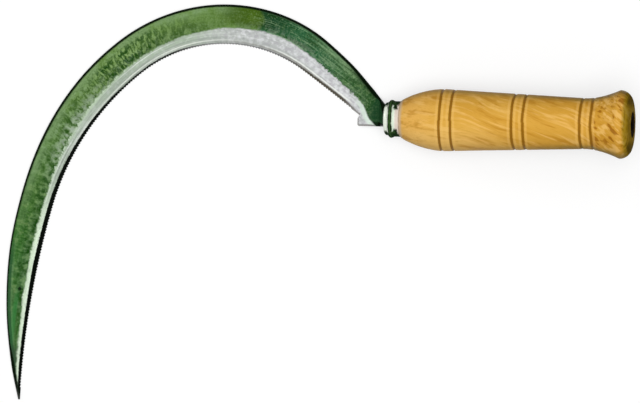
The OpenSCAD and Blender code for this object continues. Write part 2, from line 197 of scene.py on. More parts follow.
class HandleSettings(bpy.types.PropertyGroup):
    """Sizes and colours of the handle."""

    tilt: turn("Tilt", "Angle at which the handle rises from the blade", 10)
    collar_r: length("Collar radius", "Radius of the wood at the ferrule", 10.1)
    belly_r: length("Belly radius", "Radius of the belly", 17.1)
    belly_s: length("Belly place", "Distance of the belly from the mouth", 33.5)
    waist_r: length("Waist radius", "Radius of the waist", 14)
    waist_s: length("Waist place", "Distance of the waist from the mouth", 112)
    pommel_r: length("Pommel radius", "Radius of the pommel", 18.9)
    pommel_s: length("Pommel place", "Distance of the pommel from the mouth", 130.5)
    pommel_round: length("Pommel rounding", "Rounding of the pommel", 6.5)
    end_angle: turn("End angle", "Slope of the low cone at the end of the pommel", 4)
    spigot: length("Spigot", "Length of the spigot inside the ferrule", 5.4)
    rings_front: length("Front rings", "Place of the first pair of rings", 35.5)
    rings_mid: length("Middle rings", "Place of the second pair", 75.5)
    rings_rear: length("Rear rings", "Place of the third pair", 113)
    ring_gap: length("Ring gap", "Distance between the rings of a pair", 6.2)
    ring_w: length("Ring width", "Width of a ring", 1.7)
    ring_depth: length("Ring depth", "Depth of a ring", 0.5)
    tang_clear: length("Tang clearance", "Clearance round the tang", 0.2)
    spigot_clear: length("Spigot clearance", "Clearance between ferrule and spigot", 0.05)
    pith_y: length("Pith Y", "How far beside the end face the middle of the year rings lies", 9)
    pith_z: length("Pith Z", "How far below the frame's floor that middle lies", 4)
    honey: colour("Honey wood", "The wood's main colour", 226, 174, 76)
    amber: colour("Amber wood", "Broad darker bands", 212, 154, 48)
    pale: colour("Pale wood", "The palest streaks", 246, 198, 112)
    brown: colour("Brown grain", "The darkest streaks", 186, 126, 24)
    scorched: colour("Ring colour", "Stain in the scribed rings", 140, 92, 6)
    # Painted shade: this colour darkens the pommel's rim where it turns from the light
    pommel_end_shade: colour("Pommel stain", "Old varnish on the pommel's rim", 66, 52, 4)


class WasherSettings(bpy.types.PropertyGroup):
    """Sizes and colours of the washer."""

    radius: length("Radius", "Radius of the washer", 6.6)
    thick: length("Thickness", "Thickness of the washer", 1.2)
    clear: length("Clearance", "Clearance round the washer in the handle's end", 0.2)
    iron: colour("Iron", "Black scale on the iron", 12, 9, 6)
    rust: colour("Rust", "Brown rust in the pits", 48, 30, 14)


class StageSettings(bpy.types.PropertyGroup):
    """Camera, floor and light."""

    camera_x: length("Camera X", "Place of the camera over the object", -25.59)
    camera_y: length("Camera Y", "Place of the camera over the object", -46.41)
    camera_z: length("Camera height", "Height of the camera over the floor", 8000)
    camera_turn: turn("Camera turn", "Turn of the picture about the vertical", 1.48)
    view_w: length("View width", "Width of floor that the picture shows", 352)
    floor_w: length("Floor width", "Width of the floor", 8000)
    floor_gap: length("Floor gap", "How far the floor lies under the object", 0.05)
    key: share("Key light", "Share of the light that comes from the lamp", 0.6)
    fill: share("Fill light", "Share of the light that comes from all round", 0.42)
    side: share("Side light", "Share of the light that grazes the object", 0.1)


def settings(scene):
    """The settings of a scene's four pieces."""
    return scene.sickle_blade, scene.sickle_ferrule, scene.sickle_handle, scene.sickle_washer


# Shapes


def step(value, start, end):
    """Smooth step: 0 at the start, 1 at the end, 3t^2 - 2t^3 between."""
    part = np.clip((value - start) / (end - start), 0, 1)
    return part * part * (3 - 2 * part)


def blend(start, end, part):
    """A value between two: the start at 0, the end at 1, in a straight line between."""
    return start + (end - start) * part


def stops(start, end, count):
    """Places at even steps from start to end, without the start."""
    return np.linspace(start, end, count + 1)[1:]


def smooth(places, values, where):
    """Cubic through the values. Its slope at an inner place is that of the chord across it."""
    places, values = np.array(places, float), np.array(values, float)
    chord = np.diff(values) / np.diff(places)
    inner = (values[2:] - values[:-2]) / (places[2:] - places[:-2])
    slope = np.concatenate([chord[:1], inner, chord[-1:]])
    i = np.clip(np.searchsorted(places, where) - 1, 0, len(places) - 2)
    gap = places[i + 1] - places[i]
    part = (where - places[i]) / gap
    rise, start, end = values[i + 1] - values[i], slope[i] * gap, slope[i + 1] * gap
    curve = part * (3 * rise - 2 * start - end + part * (start + end - 2 * rise))
    return values[i] + part * (start + curve)


class Ripple:
    """Soft random heights over a surface: random ones at steps of its two sizes, which are in
    metres or in radians, joined by smooth steps."""

    FIELD = 512

    def __init__(self, depth, x_size, y_size, seed, x_from=0, y_from=0):
        self.depth, self.x_size, self.y_size = depth, x_size, y_size
        self.seed, self.x_from, self.y_from = seed, x_from, y_from

    def swell(self, x, y):
        """Heights from minus the depth to the depth."""
        x, y = x / self.x_size + self.x_from, y / self.y_size + self.y_from
        heights = np.random.default_rng(self.seed).uniform(-1, 1, (self.FIELD, self.FIELD))
        column, row = np.floor(x).astype(int), np.floor(y).astype(int)
        across, up = step(x - column, 0, 1), step(y - row, 0, 1)
        low, high = (
            blend(heights[column % self.FIELD, line % self.FIELD],
                  heights[(column + 1) % self.FIELD, line % self.FIELD], across)
            for line in (row, row + 1))
        return self.depth * blend(low, high, up)

    def bumps(self, x, y):
        """Heights from 0 to the depth."""
        return (self.depth + self.swell(x, y)) / 2

    def hollows(self, x, y):
        """Heights from minus twice the depth to 0."""
        return self.swell(x, y) - self.depth


# Marks in the blade: hammer strokes, swell under the paint, grinding lines, uneven underside
STROKES = Ripple(0.05 * MM, x_size=1.9 * MM, y_size=7 * MM, seed=11, x_from=40, y_from=9)
SWELL = Ripple(0.05 * MM, x_size=11 * MM, y_size=6 * MM, seed=5, x_from=70, y_from=30)
GRINDING = Ripple(0.02 * MM, x_size=30 * MM, y_size=0.9 * MM, seed=8, x_from=20, y_from=3)
UNEVEN = Ripple(0.04 * MM, x_size=8 * MM, y_size=6 * MM, seed=21, x_from=5)
# Hammer blows on the tang, dents in the ferrule, and the washer's outline and face
BLOWS = Ripple(0.12 * MM, x_size=0.9 * MM, y_size=1 / 1.9, seed=4, y_from=3)
DENTS = Ripple(0.07 * MM, x_size=2.5 * MM, y_size=1 / 3.2, seed=14, x_from=8, y_from=5)
HAND_CUT = Ripple(0.12 * MM, x_size=3 * MM, y_size=1 / 2.4, seed=19, y_from=6)
DISHED = Ripple(0.1 * MM, x_size=2.2 * MM, y_size=2.2 * MM, seed=27, x_from=9, y_from=9)
# Chatter of the turning tool and wear on the handle
CHATTER = Ripple(0.025 * MM, x_size=1.3 * MM, y_size=1 / 0.8, seed=17)
WORN = Ripple(0.04 * MM, x_size=26 * MM, y_size=1 / 1.1, seed=23, x_from=3, y_from=2)


def gap_to_line(x, y, line):
    """Shortest distance from points to a bent line: to the nearest point of each straight run."""
    nearest = np.full(np.shape(x), np.inf)
    for (x0, y0), (x1, y1) in zip(line[:-1], line[1:]):
        run = (x1 - x0) ** 2 + (y1 - y0) ** 2
        part = np.clip(((x - x0) * (x1 - x0) + (y - y0) * (y1 - y0)) / run, 0, 1)
        nearest = np.minimum(nearest, np.hypot(x - x0 - part * (x1 - x0), y - y0 - part * (y1 - y0)))
    return nearest


def cross(first, second):
    """Cross product of flat vectors."""
    return first[..., 0] * second[..., 1] - first[..., 1] * second[..., 0]


def crossing(base, aim, reach, line):
    """How far along each row's line, from base towards aim, it meets a bent line, or else 0."""
    found = np.full(len(base), np.inf)
    for start, end in zip(line[:-1], line[1:]):
        run = np.subtract(end, start)
        to_start = start - base
        far = cross(to_start, run) / cross(aim, run)
        part = cross(to_start, aim) / cross(aim, run)
        meets = (part >= 0) & (part <= 1) & (far > 0) & (far < reach)
        found = np.where(meets, np.minimum(found, far), found)
    return np.where(np.isinf(found), 0, found)


def arc_move(old, new):
    """Move along an arc of radius 1 whose heading turns: (sin new - sin old, cos old - cos new)."""
    return np.stack([np.sin(new) - np.sin(old), np.cos(old) - np.cos(new)], 1)


class EdgeLine:
    """The cutting edge: runs of arcs, each of which starts where the last one ended."""

    def __init__(self, blade):
        self.radii = np.array([blade.heel_run_r, blade.bow_r, blade.flank_r, blade.point_r])
        runs = np.array([blade.heel_run, blade.bow, blade.flank, blade.point])
        self.total = runs.sum()
        self.starts = np.concatenate([[0], np.cumsum(runs)[:-1]])
        turns = runs / self.radii
        self.heads = blade.heading + np.concatenate([[0], np.cumsum(turns)[:-1]])
        moves = self.radii[:, None] * arc_move(self.heads, self.heads + turns)
        start = np.array([[blade.start_x, blade.start_y]])
        self.points = np.concatenate([start, start + np.cumsum(moves, 0)[:-1]])

    def at(self, along):
        """Points of the edge, and the way in from it, square to its heading."""
        run = np.clip(np.searchsorted(self.starts, along, side="right") - 1, 0, len(self.radii) - 1)
        old, radius = self.heads[run], self.radii[run]
        head = old + (along - self.starts[run]) / radius
        inward = np.stack([np.sin(head), -np.cos(head)], 1)
        return self.points[run] + radius[:, None] * arc_move(old, head), inward


# Where along the edge, as a share of its length, the settings hold the width of the blade and
# of its bevel
WIDTHS = {
    "heel_w": 0, "shoulder_w": 0.06, "bow_w": 0.16, "broad_w": 0.36, "mid_w": 0.48,
    "flank_w": 0.64, "low_w": 0.75, "nose_w": 0.85, "point_w": 0.94, "tip_w": 1,
}
BEVELS = {
    "bevel_start_w": 0, "bevel_heel_w": 0.04, "bevel_broad_w": 0.13, "bevel_mid_w": 0.45,
    "bevel_low_w": 0.68, "bevel_point_w": 1,
}
# The most that the bevel, the band and the back slope may take of the width
BEVEL_SHARE, BAND_SHARE, SPINE_SHARE = 0.72, 0.45, 0.3
# Rows on a tooth's steep face and on its long back, as shares of its pitch
FACE_SHARE, BACK_SHARES = 0.12, (0.5, 0.75)
# Rows on the plain heel, on the plain tip, and on the neck's bend, rise, bend and end
HEEL_ROWS, TIP_ROWS, NECK_ROWS = 6, 14, (12, 7, 12, 3)
# Distance between the starts of the heel's rows
HEEL_SPACING = 0.5 * MM
# Columns over the band, the bevel, the paint and the back slope, and along the underside
TOP_COLUMNS, UNDER_COLUMNS = (5, 12, 24, 6), 14
# How far up the back its two grid lines lie, as shares of its height
BACK_LINES = (0.66, 0.33)
# Points on the rounded corner below the spur and on the curve where the bevel runs out
CORNER_POINTS, CURVE_POINTS = 7, 9
# Where along the edge the hammered strokes set in, and how far in, as shares of the bevel
HAMMERED_ALONG, HAMMERED_INWARD = (85 * MM, 120 * MM), (0.9, 1.15)
# How far in from the edge a file cut is at its full depth, and how softly the paint sets in
CUT_FULL, PAINT_SOFT = 0.4 * MM, 1.5 * MM
# How far out on the band its last column lies, so that it counts as the band's, and the least
# length to divide by
JUST_INSIDE, TINY = 0.999, 1e-9
# How far from the ground steel the hidden faces count as, so that all of them are painted
FAR_OFF = -20 * MM


def tooth_count(blade, total):
    """Whole teeth between the plain heel and the plain tip."""
    return math.floor((total - blade.plain_heel - blade.plain_tip) / blade.tooth_pitch)


def tooth_shape(blade, total, along):
    """Saw wave from 0 at a tooth's crest to 1 at its root. Its steep face is on the handle's side."""
    place = (along - blade.plain_heel) / blade.tooth_pitch
    part = place - np.floor(place)
    rake = blade.tooth_rake
    wave = np.where(part < rake, 1 - part / rake, (part - rake) / (1 - rake))
    return np.where((place < rake) | (place > tooth_count(blade, total) + rake), 0, wave)


def crescent_rows(blade):
    """Rows across the crescent from the tip to the start of the edge: where each starts, which
    way it runs, how long it is and where the band, the bevel and the back slope begin on it."""
    edge = EdgeLine(blade)
    count = tooth_count(blade, edge.total)
    face = (0, FACE_SHARE, blade.tooth_rake)
    teeth = (np.arange(count)[:, None] + np.array([*face, *BACK_SHARES])).ravel()
    teeth = np.concatenate([teeth, count + np.array(face)])
    teeth = blade.plain_heel + teeth * blade.tooth_pitch
    heel = np.linspace(0, blade.plain_heel, HEEL_ROWS, endpoint=False)
    along = np.concatenate([heel, teeth, stops(teeth[-1], edge.total, TIP_ROWS)])[::-1]
    base, aim = edge.at(along)
    wide, bevel = (
        smooth(list(table.values()), [getattr(blade, name) for name in table], along / edge.total)
        for table in (WIDTHS, BEVELS))
    saw = tooth_shape(blade, edge.total, along)
    return {
        "base": base, "aim": aim, "along": along, "wide": wide,
        "saw": saw, "first": saw * blade.tooth_depth,
        "band": np.minimum(blade.band_w, BAND_SHARE * wide),
        "bevel": np.minimum(bevel, BEVEL_SHARE * wide),
        "spine": np.minimum(blade.spine_w, SPINE_SHARE * wide),
    }


def heel_lines(blade):
    """Lines of the heel: its front from the edge's start over nick and spur to the foot, its
    back, the line where its bevel starts and the sharp one where it runs out."""
    spur_share, turn_gap, past_foot = 0.4, 0.4 * MM, 1 * MM
    base, aim = EdgeLine(blade).at(np.array([0.0]))
    start, back = base[0], base[0] + aim[0] * blade.heel_w
    top = back[1] - (blade.heel_front - back[0]) * math.tan(blade.heel_slope)
    nick = np.array([blade.start_x + blade.nick + blade.spur_out / 2, blade.start_y - blade.nick])
    spur_x, foot_y = nick[0] - blade.spur_out, blade.spur_round - blade.heel_drop
    spur = np.array([spur_x, nick[1] + spur_share * (foot_y - nick[1])])
    angle = np.linspace(math.pi, 1.5 * math.pi, CORNER_POINTS)
    corner = np.stack([spur_x + blade.spur_round * (1 + np.cos(angle)),
                       foot_y + blade.spur_round * np.sin(angle)], 1)
    foot = np.array([[blade.heel_front, -blade.heel_drop]])
    front = np.concatenate([[start, nick, spur], corner, foot])
    bevel = [start + aim[0] * blade.bevel_start_w, (-turn_gap, turn_gap / 2),
             (blade.heel_front - turn_gap, -blade.heel_drop - past_foot)]
    part = np.linspace(0, 1, CURVE_POINTS)[:, None]
    sharp = ((1 - part) ** 2 * start + 2 * part * (1 - part) * np.array([[spur_x, 0]])
             + part ** 2 * np.array([[spur_x, -blade.heel_drop - past_foot]]))
    return front, np.array([back, (blade.heel_front, top)]), bevel, sharp


def along_line(line, spacing):
    """Points along a bent line, its corners among them, and how far along it each one lies."""
    steps = [np.linspace(a, b, max(2, math.ceil(np.hypot(*(b - a)) / spacing) + 1))[:-1]
             for a, b in zip(line[:-1], line[1:])]
    points = np.concatenate(steps + [line[-1:]])
    gone = np.concatenate([[0], np.cumsum(np.hypot(*np.diff(points, axis=0).T))])
    return points, gone / gone[-1]


def heel_rows(blade):
    """Rows that fan out from the heel's back to its front, from the edge's start to the neck."""
    least_bevel = 0.9 * MM
    front, (back, top), bevel, _ = heel_lines(blade)
    base, gone = (part[1:] for part in along_line(front, HEEL_SPACING))
    span = blend(back, top, gone[:, None]) - base
    wide = np.hypot(*span.T)
    aim = span / wide[:, None]
    ground = np.maximum(crossing(base, aim, wide, bevel), least_bevel)
    none = np.zeros(len(base))
    return {
        "base": base, "aim": aim, "along": -gone * (blade.heel_front - blade.start_x) / 2,
        "wide": wide, "saw": none, "first": none,
        "band": np.minimum(blade.band_w, BAND_SHARE * ground), "bevel": ground,
        "spine": none + blade.spine_w,
    }


def top_columns(rows):
    """Distances along each row of its points on the upper face. They crowd at the band, the
    bevel's upper side and the back slope, so that those ridges lie on grid lines."""
    first, wide = rows["first"], rows["wide"]
    keys = [first, blend(first, rows["band"], JUST_INSIDE), rows["bevel"],
            wide - rows["spine"], wide]
    runs = [blend(start[:, None], end[:, None], stops(0, 1, count))
            for start, end, count in zip(keys[:-1], keys[1:], TOP_COLUMNS)]
    return np.concatenate([first[:, None], *runs], 1)


def ground_height(blade, inward, to_band, to_bevel):
    """Height of the ground faces: a straight rise over the toothed band, then the bevel, which
    dips between its sides by the hollow times the sine of half a turn over its width."""
    low = blend(blade.edge_t, blade.band_t, np.minimum(inward / to_band, 1))
    part = np.clip((inward - to_band) / np.maximum(to_bevel, TINY), 0, 1)
    high = blend(blade.band_t, blade.thick, part) - blade.hollow * np.sin(math.pi * part)
    return np.where(inward < to_band, low, high)


def surface_marks(blade, rows, inward):
    """File cuts above the teeth, hammered strokes across the blade and a few shallow dents."""
    along, saw, bevel = (rows[key][:, None] for key in ("along", "saw", "bevel"))
    cut = -blade.cut_depth * saw * step(inward, blade.cut_reach, CUT_FULL)
    hammered = step(along, *HAMMERED_ALONG) * step(inward, *(bevel * k for k in HAMMERED_INWARD))
    painted = step(inward, bevel, bevel + PAINT_SOFT)
    return (cut + STROKES.swell(along, inward) * hammered + SWELL.swell(along, inward) * painted
            + GRINDING.swell(along, inward) * (1 - painted))


def heel_height(blade, rows, top, lines):
    """Height of the heel's upper face, and how far each point lies inside its bevel. The bevel
    rises from the sharp line to the flat one as a quarter of a sine wave past the edge's end."""
    least_bevel, change = 1 * MM, 0.8 * MM
    bevel_line, sharp_line = lines
    x, y = (rows["base"][:, i:i + 1] + rows["aim"][:, i:i + 1] * top for i in (0, 1))
    to_sharp, to_flat = gap_to_line(x, y, sharp_line), gap_to_line(x, y, bevel_line)
    bevel = rows["bevel"][:, None]
    inside = (top < bevel) & (bevel > least_bevel)
    height = ground_height(blade, to_sharp, blade.band_w, to_flat + to_sharp - blade.band_w)
    part = to_sharp / np.maximum(to_sharp + to_flat, TINY)
    dished = blend(blade.edge_t, blade.thick, np.sin(math.pi / 2 * part))
    height = blend(height, dished, step(rows["along"][:, None], 0, -change))
    return np.where(inside, height, blade.thick), np.where(inside, to_flat, -to_flat)


def plate_skin(blade, rows, lines=None):
    """Closed loops round the plate, row by row: over the top from edge to back, down the back,
    and along the underside to the edge again. Gives each point's distance along its row, its
    height and how far it lies inside the bevel. The back slope falls with a power of the way
    across it."""
    fall_power, soft = 1.35, 0.25 * MM
    top = top_columns(rows)
    wide, spine, bevel, band = (rows[key][:, None] for key in ("wide", "spine", "bevel", "band"))
    if lines is None:
        height, ground = ground_height(blade, top, band, bevel - band), bevel - top
    else:
        height, ground = heel_height(blade, rows, top, lines)
    fall = np.clip((top - (wide - spine)) / spine, 0, 1)
    height = np.minimum(height, blade.thick) - blade.spine_drop * fall ** fall_power
    height = height + surface_marks(blade, rows, top) * (1 - fall)
    back = [height[:, -1:] * part for part in BACK_LINES]
    under = blend(top[:, :1], wide, np.linspace(1, 0, UNDER_COLUMNS))
    under[:, 0] -= soft
    flat = UNEVEN.bumps(rows["along"][:, None], under)
    flat[:, 0] = flat[:, -1] = 0
    inward = np.concatenate([top, wide, wide, wide, under], 1)
    up = np.concatenate([height, *back, np.full_like(wide, soft), flat], 1)
    side = ground[:, -1:]
    ground = np.concatenate([ground, side, side, side, np.full_like(under, FAR_OFF)], 1)
    return inward, up, ground


def plate_points(rows, inward, up):
    """A row's start plus the distance along it, at the height above the floor."""
    x, y = (rows["base"][:, i:i + 1] + rows["aim"][:, i:i + 1] * inward for i in (0, 1))
    return np.stack([x, y, up], 2)


# Powers of the curves that the wood follows to the belly, to the waist and to the pommel
SWELL_POWER, TAPER_POWER, FLARE_POWER = 0.8, 1.05, 1.7
# Distance between the places where the wood's height over the floor is measured
OUTLINE_STEP = 0.5 * MM


def wood_radius(handle, ferrule, s):
    """Radius of the turned wood: a sine swell to the belly, a slow taper to the waist and a
    flare to the pommel."""
    rise = np.clip((s - ferrule.long) / (handle.belly_s - ferrule.long), 0, 1)
    swell = blend(handle.collar_r, handle.belly_r, np.sin(math.pi / 2 * rise) ** SWELL_POWER)
    down = np.clip((s - handle.belly_s) / (handle.waist_s - handle.belly_s), 0, 1)
    taper = blend(handle.waist_r, handle.belly_r, (1 - down) ** TAPER_POWER)
    out = np.clip((s - handle.waist_s) / (handle.pommel_s - handle.waist_s), 0, 1)
    flare = blend(handle.waist_r, handle.pommel_r, out ** FLARE_POWER)
    return np.where(s <= handle.belly_s, swell, np.where(s <= handle.waist_s, taper, flare))


def handle_end(handle, washer):
    """Places of the handle's end: where the pommel's rounding stops and its radius there, the
    radius of the seat for the washer, and the distances of the seat's rim and of its floor."""
    cone_s = handle.pommel_s + handle.pommel_round * math.cos(handle.end_angle)
    cone_r = handle.pommel_r - handle.pommel_round * (1 - math.sin(handle.end_angle))
    seat_r = washer.radius + washer.clear
    rim_s = cone_s + (cone_r - seat_r) * math.tan(handle.end_angle)
    return cone_s, cone_r, seat_r, rim_s, rim_s - washer.thick


def mouth(blade, ferrule, handle):
    """Centre of the ferrule's mouth and the length of the neck's rise. The neck's bends carry
    the mouth forward, and it is as high as lets the belly of the handle just reach the floor."""
    bend, tilt, steep = blade.bend_r, handle.tilt, blade.neck_angle
    s = np.arange(ferrule.long, handle.belly_s + OUTLINE_STEP / 2, OUTLINE_STEP)
    sunk = wood_radius(handle, ferrule, s) * math.cos(tilt) - s * math.sin(tilt)
    mouth_z = float(sunk.max())
    rise = mouth_z + blade.neck_s * math.sin(tilt) - blade.thick / 2
    straight = (rise - bend * (1 + math.cos(tilt) - 2 * math.cos(steep))) / math.sin(steep)
    run = bend * (2 * math.sin(steep) - math.sin(tilt)) + straight * math.cos(steep)
    return blade.heel_front + run - blade.neck_s * math.cos(tilt), mouth_z, straight


def neck_line(blade, ferrule, handle):
    """The neck's middle line seen from the side, and its lean: an arc up, a straight rise, an
    arc back and a short straight run into the ferrule."""
    _, _, straight = mouth(blade, ferrule, handle)
    bend, tilt, steep = blade.bend_r, handle.tilt, blade.neck_angle
    low_rows, rise_rows, high_rows, end_rows = NECK_ROWS
    lower, upper = stops(0, steep, low_rows), stops(steep, tilt, high_rows)
    rise, into = stops(0, straight, rise_rows), stops(0, blade.neck_in - blade.neck_s, end_rows)
    lean = np.concatenate([lower, np.full(len(rise), steep), upper, np.full(len(into), tilt)])
    ahead, onward = ((math.cos(angle), math.sin(angle)) for angle in (steep, tilt))
    moves = (bend * arc_move(0.0, lower), rise[:, None] * ahead,
             -bend * arc_move(steep, upper), into[:, None] * onward)
    points = np.array([[blade.heel_front, blade.thick / 2]])
    for move in moves:
        points = np.concatenate([points, points[-1] + move])
    return *points[1:].T, lean


def neck_points(blade, ferrule, handle, part, up):
    """The neck: a point stands off its middle line square to the metal, and its side-to-side
    place is a share of the width there, which narrows with height and, seen from above, along
    the slope of the heel. Also gives how far along the neck each row lies."""
    past_half = 0.6 * MM
    x, z, lean = neck_line(blade, ferrule, handle)
    _, (_, corner), _, _ = heel_lines(blade)
    half, off = blade.neck_w / 2, up - blade.thick / 2
    px = x[:, None] - off * np.sin(lean)[:, None]
    pz = z[:, None] + off * np.cos(lean)[:, None]
    narrow = np.clip((pz - blade.thick) / (blade.neck_taper_z - blade.thick), 0, 1)
    low = blend(-blade.heel_drop, -half, narrow)
    high = blend(corner[1], half, narrow)
    sloped = corner[1] - (px - blade.heel_front) * math.tan(blade.heel_slope)
    high = np.minimum(high, np.maximum(sloped, half + past_half))
    gone = np.concatenate([[0], np.cumsum(np.hypot(np.diff(x), np.diff(z)))])
    return np.stack([px, blend(low, high, part), pz], 2), gone


def blade_grid(blade, ferrule, handle):
    """The whole forging up to the ferrule as one grid: rows from the tip to the heel, fanned
    over the heel and carried up the neck, each row a closed loop round the metal."""
    corner_soft, corner_w, ease_end = 0.35 * MM, 0.9 * MM, 0.25
    crescent, heel = crescent_rows(blade), heel_rows(blade)
    edge_skin, heel_skin = plate_skin(blade, crescent), plate_skin(blade, heel, heel_lines(blade)[2:])
    inward, up, _ = (part[-1:] for part in heel_skin)
    wide, count = heel["wide"][-1], sum(NECK_ROWS)
    part = inward / wide
    near_side = np.minimum(part, 1 - part) * wide
    on_top = np.arange(part.size) <= sum(TOP_COLUMNS)
    full = np.where(on_top, blade.thick - corner_soft * step(near_side, corner_w, 0), up)
    ease = step(np.linspace(0, 1, count)[:, None], 0, ease_end)
    neck, gone = neck_points(blade, ferrule, handle, part, blend(up, full, ease))
    points = [plate_points(crescent, *edge_skin[:2]), plate_points(heel, *heel_skin[:2]), neck]
    along = np.concatenate([crescent["along"], heel["along"], heel["along"][-1] - gone])
    to_rim = [rows["wide"][:, None] - skin[0]
              for rows, skin in ((crescent, edge_skin), (heel, heel_skin))]
    values = {
        "along": along[:, None],
        "inward": np.concatenate([edge_skin[0], heel_skin[0], np.repeat(inward, count, 0)]),
        "ground": np.concatenate([edge_skin[2], heel_skin[2], np.full((count, part.size), FAR_OFF)]),
        "rim": np.concatenate([*to_rim, np.repeat(near_side, count, 0)]),
    }
    return {"points": np.concatenate(points), "closed": False, "values": values}


def on_handle(points, blade, ferrule, handle):
    """Puts points given along and round the handle's line into the frame: the line starts at
    the ferrule's mouth and rises by the tilt."""
    mouth_x, mouth_z, _ = mouth(blade, ferrule, handle)
    s, side, up = points[..., 0], points[..., 1], points[..., 2]
    cos, sin = math.cos(handle.tilt), math.sin(handle.tilt)
    return np.stack([mouth_x + s * cos - up * sin, side, mouth_z + s * sin + up * cos], -1)


# Steps round the tang, the ferrule, the handle and the washer
TANG_STEPS, FERRULE_STEPS, HANDLE_STEPS, WASHER_STEPS = 48, 128, 160, 72
# Points along the tang and the dome of its hammered end
BAR_POINTS, DOME_POINTS = 24, 11
# Points along the ferrule's rounded front and its bead
FRONT_POINTS, BEAD_POINTS = 9, 19
# Points along the handle, the rounding of its pommel and its low cone
WOOD_POINTS, POMMEL_POINTS, CONE_POINTS = 300, 15, 8
# Points along the washer's rounded rim and its flat face
RIM_POINTS, FLAT_POINTS = 5, 7
# Seed of the first scribed ring, and the power of a groove's round section
FIRST_RING_SEED, GROOVE_POWER = 31, 1.6


def turned(s, radius, steps, relief):
    """Surface of revolution: each point of the outline goes round the handle's line in steps.
    The relief adds to the radius by place and angle. Also gives every point's place and angle."""
    s, angle = np.meshgrid(s, np.linspace(0, 2 * math.pi, steps, endpoint=False), indexing="ij")
    out = radius[:, None] + relief(s, angle)
    return np.stack([s, out * np.sin(angle), out * np.cos(angle)], 2), s, angle


def tang_grid(blade, ferrule, handle, washer):
    """The round tang from inside the neck to the washer, and its hammered, domed end."""
    crush, blow_reach, gap, first_share = 0.35 * MM, 0.5 * MM, 0.4 * MM, 0.96
    _, _, _, face, _ = handle_end(handle, washer)
    peen_r = blade.peen_d / 2
    bar = np.linspace(blade.neck_s + gap, face, BAR_POINTS)
    dome = np.linspace(0, math.pi / 2, DOME_POINTS, endpoint=False)
    s = np.concatenate([bar, [face], face + crush + (blade.peen_h - crush) * np.sin(dome)])
    radius = np.concatenate([np.full(len(bar), blade.tang_d / 2), [peen_r * first_share],
                             peen_r * np.cos(dome)])

    def blows(place, angle):
        """Flats that the hammer left on the end."""
        flats = BLOWS.hollows(place, angle) * step(place, face, face + blow_reach)
        return flats - BLOWS.depth * step(place, face, face + crush)
    points, _, _ = turned(s, radius, TANG_STEPS, blows)
    return {"points": on_handle(points, blade, ferrule, handle), "closed": False, "values": {}}


def ferrule_grid(blade, ferrule, handle):
    """The pressed ferrule: rounded front, front band, raised bead and rear band outside, and
    the same shape one wall thickness further in. The bead is half a cosine wave."""
    lip, lip_drop = 0.4 * MM, 0.25 * MM
    angle = np.linspace(0, math.pi / 2, FRONT_POINTS)
    part = np.linspace(-1, 1, BEAD_POINTS)
    base = np.where(part < 0, ferrule.front_r, ferrule.rear_r)
    bead = blend(base, ferrule.bead_r, np.cos(math.pi / 2 * part))
    wall, front_round, rear_s = ferrule.wall, ferrule.front_round, ferrule.long
    front_r, rear_r, shelf = ferrule.front_r - wall, ferrule.rear_r - wall, rear_s - handle.spigot
    s = np.concatenate([
        front_round * (1 - np.cos(angle)), ferrule.bead_s + ferrule.bead_half * part,
        [rear_s - lip, rear_s, rear_s, shelf, shelf, wall + front_round / 2, wall, wall, 0]])
    radius = np.concatenate([
        ferrule.front_r - front_round * (1 - np.sin(angle)), bead,
        [ferrule.rear_r, ferrule.rear_r - lip_drop, rear_r, rear_r, front_r, front_r,
         front_r - front_round / 2, ferrule.mouth_r, ferrule.mouth_r]])

    def dents(place, angle):
        """Slight unevenness of the pressing."""
        return -DENTS.bumps(place, angle)
    points, along, angle = turned(s, radius, FERRULE_STEPS, dents)
    values = {"along": along, "side": np.sin(angle), "up": np.cos(angle)}
    return {"points": on_handle(points, blade, ferrule, handle), "closed": True, "values": values}


def ring_wave(handle, s, angle):
    """How deep the scribed rings are at a place, and how far it is from the nearest one. Each is
    a round groove whose line, width and depth wander a little round the handle."""
    least_deep = 0.8
    depth, gap = 0, np.inf
    pairs = (handle.rings_front, handle.rings_mid, handle.rings_rear)
    lines = [place + side * handle.ring_gap for place in pairs for side in (-0.5, 0.5)]
    for seed, line in enumerate(lines, FIRST_RING_SEED):
        wander = Ripple(0.22 * MM, x_size=1 / 1.6, y_size=1, seed=seed).swell(angle, 0.0)
        spread = Ripple(0.25, x_size=1 / 3, y_size=1, seed=seed, y_from=7).swell(angle, 0.0)
        deeper = Ripple(0.2, x_size=1 / 4, y_size=1, seed=seed, y_from=3).swell(angle, 0.0)
        off, wide = np.abs(s - line - wander), handle.ring_w / 2 * (1 + spread)
        deep = least_deep + deeper
        depth = np.maximum(depth, deep * (1 - np.clip(off / wide, 0, 1) ** GROOVE_POWER))
        gap = np.minimum(gap, off)
    return depth, gap


